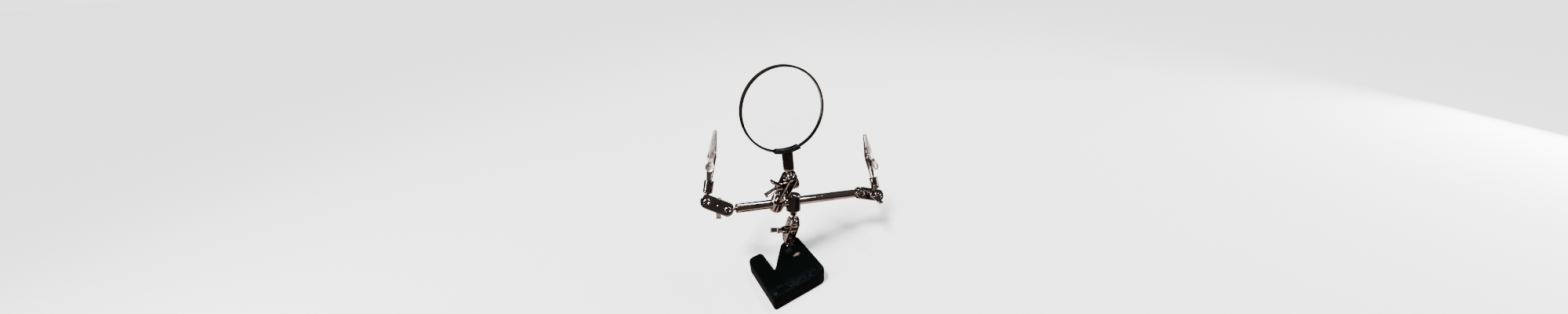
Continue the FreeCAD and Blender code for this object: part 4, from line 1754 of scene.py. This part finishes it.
    def pin(self) -> bpy.types.Mesh:
        """The pivot pin with its domed heads.

        Returns:
            Its mesh.
        """
        half = self.pin_half
        end = [(1.0 * MM, half), (1.4 * MM, half), (1.38 * MM, half + 0.25 * MM),
               (1.1 * MM, half + 0.48 * MM), (0.6 * MM, half + 0.58 * MM), (0, half + 0.6 * MM)]
        profile = [(radius, -height) for radius, height in reversed(end)] + end
        mesh = mesh_from("pin", lathe(profile, 40))
        crosswise = Matrix.Rotation(-math.pi / 2, 4, "X")
        mesh.transform(Matrix.Translation((0, 0, self.pivot)) @ crosswise)
        return mesh

    def spring(self) -> bpy.types.Mesh:
        """The torsion spring with its leg on the fixed jaw.

        Returns:
            Its mesh.
        """
        steps = 30
        path = []
        for step in range(self.coil_turns * steps + steps // 4):
            angle = 2 * math.pi * step / steps + math.pi / 2
            path.append(Vector((self.coil * math.cos(angle),
                                self.coil_pitch * (step / steps - self.coil_turns / 2),
                                self.pivot + self.coil * math.sin(angle))))
        last = path[-1]
        down = Vector((-2.35 * MM, last.y * 0.6, self.pad_end + 4 * MM))
        bow = Vector((-0.25 * MM, 0, 0))
        for step in range(1, 9):
            share = step / 8
            path.append(last.lerp(down, share) + bow * math.sin(math.pi * share))
        return mesh_from("spring", tube_along(path, self.wire))

    def lever_leg(self) -> bpy.types.Mesh:
        """The spring's other leg, pressed under the lever's pad.

        Returns:
            Its mesh.
        """
        start = Vector((0.3 * MM, self.leg_offset, self.pivot + 1.72 * MM))
        bend = Vector((self.coil, self.leg_offset, self.pivot))
        end = Vector((4.3 * MM, -0.9 * MM, self.pad_end + 5.6 * MM))
        path = []
        for step in range(9):
            angle = math.radians(90 - 90 * step / 8)
            path.append(Vector((self.coil * math.cos(angle), self.leg_offset,
                                self.pivot + self.coil * math.sin(angle))))
        path[0] = start.lerp(path[0], 0.5)
        for step in range(1, 9):
            path.append(bend.lerp(end, step / 8))
        return mesh_from("lever_leg", tube_along(path, self.wire))


def at(table: Sequence[tuple[float, float]], place: float) -> float:
    """Value of a piecewise-linear table.

    Args:
        table: (place, value) points in order.
        place: Where to read it.

    Returns:
        The value, held at both ends.
    """
    return float(np.interp(place, [entry[0] for entry in table], [entry[1] for entry in table]))


@dataclass
class Stand:
    """The whole third hand."""

    flange: float = 9.14 * MM
    flange_radius: float = 3.4 * MM
    foot_shank: float = 2.5 * MM
    cap: float = 7.0 * MM
    cap_radius: float = 4.1 * MM
    bar_shank: float = 3.05 * MM
    stud_neck: float = 1.65 * MM
    clamp_neck: float = 6.54 * MM
    stem_neck: float = 6.6 * MM
    clip_neck: float = 6.64 * MM
    thin_shank: float = 1.5 * MM
    clip_shank: float = 1.9 * MM
    clamp_reach_mm: float = 20.0
    bar: Vector = field(init=False)
    bar_middle: Vector = field(init=False)

    def __post_init__(self) -> None:
        """Find the cross bar."""
        self.bar = joint_axis("crossbar_slide")
        self.bar_middle = (joint_point("left_bar_stud_twist")
                           + joint_point("right_bar_stud_twist")) / 2

    def build(self) -> None:
        """Model every sub-assembly."""
        CastBase().build()
        self.build_base_joint()
        self.build_magnifier_joint()
        stand = joint_axis("stand_clamp_twist")
        CrossBar(self.bar_middle, self.bar, stand).build()
        Magnifier().build()
        for side in Side:
            self.build_arm(side)

    def build_base_joint(self) -> None:
        """Model the joint between the base and the stand clamp."""
        ball = joint_point("base_knuckle_tilt")
        other = joint_point("stand_stud_tilt")
        normal = joint_axis("base_knuckle_tilt")
        stand = joint_axis("stand_clamp_twist")
        flange = self.flange
        extra = [(self.stud_neck, flange - 0.1 * MM), (3.1 * MM, flange),
                 (self.flange_radius, flange + 0.3 * MM), (self.flange_radius, flange + 1.45 * MM),
                 (3.3 * MM, flange + 1.6 * MM), (self.foot_shank, flange + 1.6 * MM)]
        BallStud("base_ball_stud", "base_stud", Seat(ball, Vector((0, 0, -1)), Vector((1, 0, 0))),
                 flange, self.foot_shank, 9 * MM, extra=extra).build()
        Knuckle(("base_knuckle_screw_plate", "base_knuckle_far_plate"), "base_knuckle", ball, other,
                normal).build()
        WingScrew("base_wing_screw", "base_screw", (ball + other) / 2, normal).build()
        BallStud("stand_clamp_ball_stud", "stand_stud", Seat(other, stand, self.bar),
                 self.clamp_neck, self.thin_shank, 6 * MM).build()
        BarClamp("stand_clamp_body", "stand_clamp",
                 Seat(other + stand * self.clamp_reach_mm * MM, stand, self.bar)).build()

    def build_magnifier_joint(self) -> None:
        """Model the joint between the cross bar and the magnifier."""
        clamp = joint_point("magnifier_clamp_roll")
        ball = joint_point("magnifier_clamp_twist")
        axis = joint_axis("magnifier_clamp_twist")
        normal = joint_axis("magnifier_knuckle_tilt")
        stem_ball = joint_point("magnifier_stem_tilt")
        stem = joint_axis("magnifier_stem_twist")
        middle = (ball + stem_ball) / 2
        BarClamp("magnifier_clamp_body", "magnifier_clamp", Seat(clamp, -axis, self.bar)).build()
        BallStud("magnifier_clamp_ball_stud", "magnifier_clamp_stud", Seat(ball, -axis, self.bar),
                 self.clamp_neck, self.thin_shank, 6 * MM).build()
        Knuckle(("magnifier_knuckle_screw_plate", "magnifier_knuckle_nut_plate"),
                "magnifier_knuckle", ball, stem_ball, normal).build()
        WingScrew("magnifier_wing_screw", "magnifier_screw", middle, normal,
                  shank_end=-11.2 * MM).build()
        GroovedNut("magnifier_grooved_nut", "magnifier_knuckle",
                   Seat(middle, normal, stem_ball - ball)).build()
        BallStud("magnifier_stem_ball_stud", "magnifier_stem_stud", Seat(stem_ball, stem, normal),
                 self.stem_neck, self.thin_shank, 6 * MM).build()

    def build_arm(self, side: Side) -> None:
        """Model one end's knuckle and clip.

        Args:
            side: Which end.
        """
        prefix = side.value
        ball = joint_point(f"{prefix}_bar_stud_twist")
        outward = joint_axis(f"{prefix}_bar_stud_twist")
        other = joint_point(f"{prefix}_clip_tilt")
        screw = joint_axis(f"{prefix}_screw_turn")
        clip = joint_axis(f"{prefix}_clip_twist")
        cap = self.cap
        extra = [(self.stud_neck, cap - 0.05 * MM), (3.4 * MM, cap), (3.8 * MM, cap + 0.12 * MM),
                 (4.05 * MM, cap + 0.45 * MM), (self.cap_radius, cap + 0.8 * MM),
                 (self.cap_radius, cap + 1.2 * MM), (self.bar_shank, cap + 1.2 * MM)]
        BallStud(f"{prefix}_bar_ball_stud", f"{prefix}_bar_stud", Seat(ball, -outward, screw), cap,
                 self.bar_shank, 9 * MM, extra=extra).build()
        Knuckle((f"{prefix}_knuckle_screw_plate", f"{prefix}_knuckle_far_plate"),
                f"{prefix}_knuckle", ball, other, screw).build()
        WingScrew(f"{prefix}_wing_screw", f"{prefix}_screw", (ball + other) / 2, screw).build()
        BallStud(f"{prefix}_clip_ball_stud", f"{prefix}_clip_stud", Seat(other, clip, screw),
                 self.clip_neck, self.clip_shank, 4.8 * MM).build()
        ClipArm(side).build()


@dataclass(frozen=True)
class SoftBox:
    """One rectangular light of the studio."""

    name: str
    place: tuple[float, float, float]
    aim: tuple[float, float, float]
    size: tuple[float, float]
    power: float

    def hang(self) -> None:
        """Add the light to the scene, turned towards the point that it is aimed at."""
        light = bpy.data.lights.new(self.name, "AREA")
        light.shape = "RECTANGLE"
        light.size, light.size_y = self.size
        light.energy = self.power
        lamp = bpy.data.objects.new(self.name, light)
        lamp.location = self.place
        way = Vector(self.aim) - Vector(self.place)
        lamp.rotation_euler = way.to_track_quat("-Z", "Y").to_euler()
        bpy.context.scene.collection.objects.link(lamp)


@dataclass
class Studio:
    """Pale floor, soft light and the camera."""

    eye: tuple[float, float, float] = (-0.09395, -0.18872, 0.26402)
    right: tuple[float, float, float] = (0.8595, -0.5066, -0.0682)
    forward: tuple[float, float, float] = (0.3974, 0.7461, -0.5342)
    lens: float = 7.786
    pale: float = 0.92
    sun: float = 9.0
    room: float = 0.12
    backdrop: float = 2.8
    # painted reflection: warm glow near the stand and near-black glow farther out, which the floor
    # gives off only in mirror rays
    painted_reflection_near: tuple[float, float, float] = (1.42, 1.22, 1.12)
    painted_reflection_far: tuple[float, float, float] = (0.05, 0.045, 0.04)
    painted_reflection_reach: tuple[float, float] = (0.09, 0.17)
    floor_radius: float = 40.0
    floor_height: float = -0.00002
    sun_spread: float = 14.0
    sun_way: tuple[float, float, float] = (0.42, 0.02, -1.0)
    room_tint: tuple[float, float, float] = (1.0, 0.97, 0.94)
    sensor: float = 36.0
    sight: tuple[float, float] = (0.01, 200.0)
    boxes: tuple[SoftBox, ...] = (
        SoftBox("bar_strip", (0.45, 0.08, 0.90), (0.04, 0.02, 0.06), (0.9, 0.06), 10.0),
        SoftBox("left_strip", (-0.75, 0.05, 0.35), (-0.04, 0.05, 0.09), (0.07, 0.6), 9.0),
        SoftBox("right_card", (0.85, -0.42, 0.14), (0.11, 0.01, 0.08), (0.35, 0.25), 6.0),
    )

    def build(self) -> None:
        """Set the studio up."""
        self.build_floor()
        self.build_world()
        self.build_lights()
        self.build_camera()

    def build_floor(self) -> None:
        """Lay a wide pale floor."""
        loop = arc((0, 0), self.floor_radius, 0, 360, 96)[:-1]
        build = bmesh.new()
        build.faces.new([build.verts.new((x, y, self.floor_height)) for x, y in loop])
        mesh = bpy.data.meshes.new("studio_floor")
        build.to_mesh(mesh)
        build.free()
        mesh.materials.append(self.floor_finish())
        floor = bpy.data.objects.new("studio_floor", mesh)
        bpy.context.scene.collection.objects.link(floor)

    def floor_finish(self) -> bpy.types.Material:
        """Pale matt floor whose mirror rays meet a painted reflection: a warm glow near the stand,
        near black farther out.

        Returns:
            The material.
        """
        bench = NodeBench("studio_floor")
        bench.set(Base_Color=(self.pale, self.pale, self.pale, 1), Roughness=0.9,
                  Specular_IOR_Level=0.1)
        reach = bench.add("ShaderNodeVectorMath", operation="LENGTH")
        bench.link(bench.place, reach.inputs[0])
        near = bench.ramp(reach.outputs["Value"], *self.painted_reflection_reach, 1.0, 0.0)
        # painted reflection: the floor glows for mirror rays only, warm near the stand and near
        # black farther out
        mirrored = bench.add("ShaderNodeEmission")
        bench.link(bench.blend(near, self.painted_reflection_far, self.painted_reflection_near), mirrored.inputs["Color"])
        path = bench.add("ShaderNodeLightPath")
        mix = bench.add("ShaderNodeMixShader")
        mirror_only = bench.add("ShaderNodeMath", operation="SUBTRACT", use_clamp=True)
        bench.link(path.outputs["Is Glossy Ray"], mirror_only.inputs[0])
        bench.link(path.outputs["Is Transmission Ray"], mirror_only.inputs[1])
        bench.link(mirror_only.outputs[0], mix.inputs[0])
        bench.link(bench.shader.outputs[0], mix.inputs[1])
        bench.link(mirrored.outputs[0], mix.inputs[2])
        bench.link(mix.outputs[0], bench.tree.nodes["Material Output"].inputs["Surface"])
        return bench.material

    def build_world(self) -> None:
        """Stand a pale backdrop behind the floor, with a dim room for the metal to mirror."""
        world = bpy.data.worlds.new("studio")
        world.use_nodes = True
        tree = world.node_tree
        room = tree.nodes["Background"]
        room.inputs["Color"].default_value = (*self.room_tint, 1)
        room.inputs["Strength"].default_value = self.room
        backdrop = tree.nodes.new("ShaderNodeBackground")
        backdrop.inputs["Color"].default_value = (self.pale, self.pale, self.pale, 1)
        backdrop.inputs["Strength"].default_value = self.backdrop
        path = tree.nodes.new("ShaderNodeLightPath")
        mix = tree.nodes.new("ShaderNodeMixShader")
        tree.links.new(path.outputs["Is Camera Ray"], mix.inputs[0])
        tree.links.new(room.outputs[0], mix.inputs[1])
        tree.links.new(backdrop.outputs[0], mix.inputs[2])
        tree.links.new(mix.outputs[0], tree.nodes["World Output"].inputs["Surface"])
        bpy.context.scene.world = world

    def build_lights(self) -> None:
        """Hang one broad soft source for the whole floor, two narrow strips and a card."""
        sun = bpy.data.lights.new("broad_light", "SUN")
        sun.energy = self.sun
        sun.angle = math.radians(self.sun_spread)
        lamp = bpy.data.objects.new("broad_light", sun)
        lamp.rotation_euler = Vector(self.sun_way).to_track_quat("-Z", "Y").to_euler()
        bpy.context.scene.collection.objects.link(lamp)
        for box in self.boxes:
            box.hang()

    def build_camera(self) -> None:
        """Stand the camera at the viewing angle."""
        back = -Vector(self.forward).normalized()
        right = Vector(self.right)
        right = (right - back * right.dot(back)).normalized()
        up = back.cross(right)
        camera = bpy.data.cameras.new("viewpoint")
        camera.sensor_width = self.sensor
        camera.lens = self.lens
        camera.clip_start, camera.clip_end = self.sight
        viewer = bpy.data.objects.new("viewpoint", camera)
        turn = Matrix((right, up, back)).transposed().to_4x4()
        viewer.matrix_world = Matrix.Translation(self.eye) @ turn
        bpy.context.scene.collection.objects.link(viewer)
        bpy.context.scene.camera = viewer


def main() -> None:
    """Build the stand and its studio."""
    logging.basicConfig(level=logging.INFO, format="%(name)s: %(message)s")
    make_finishes()
    Stand().build()
    Studio().build()


if __name__ == "__main__":
    main()
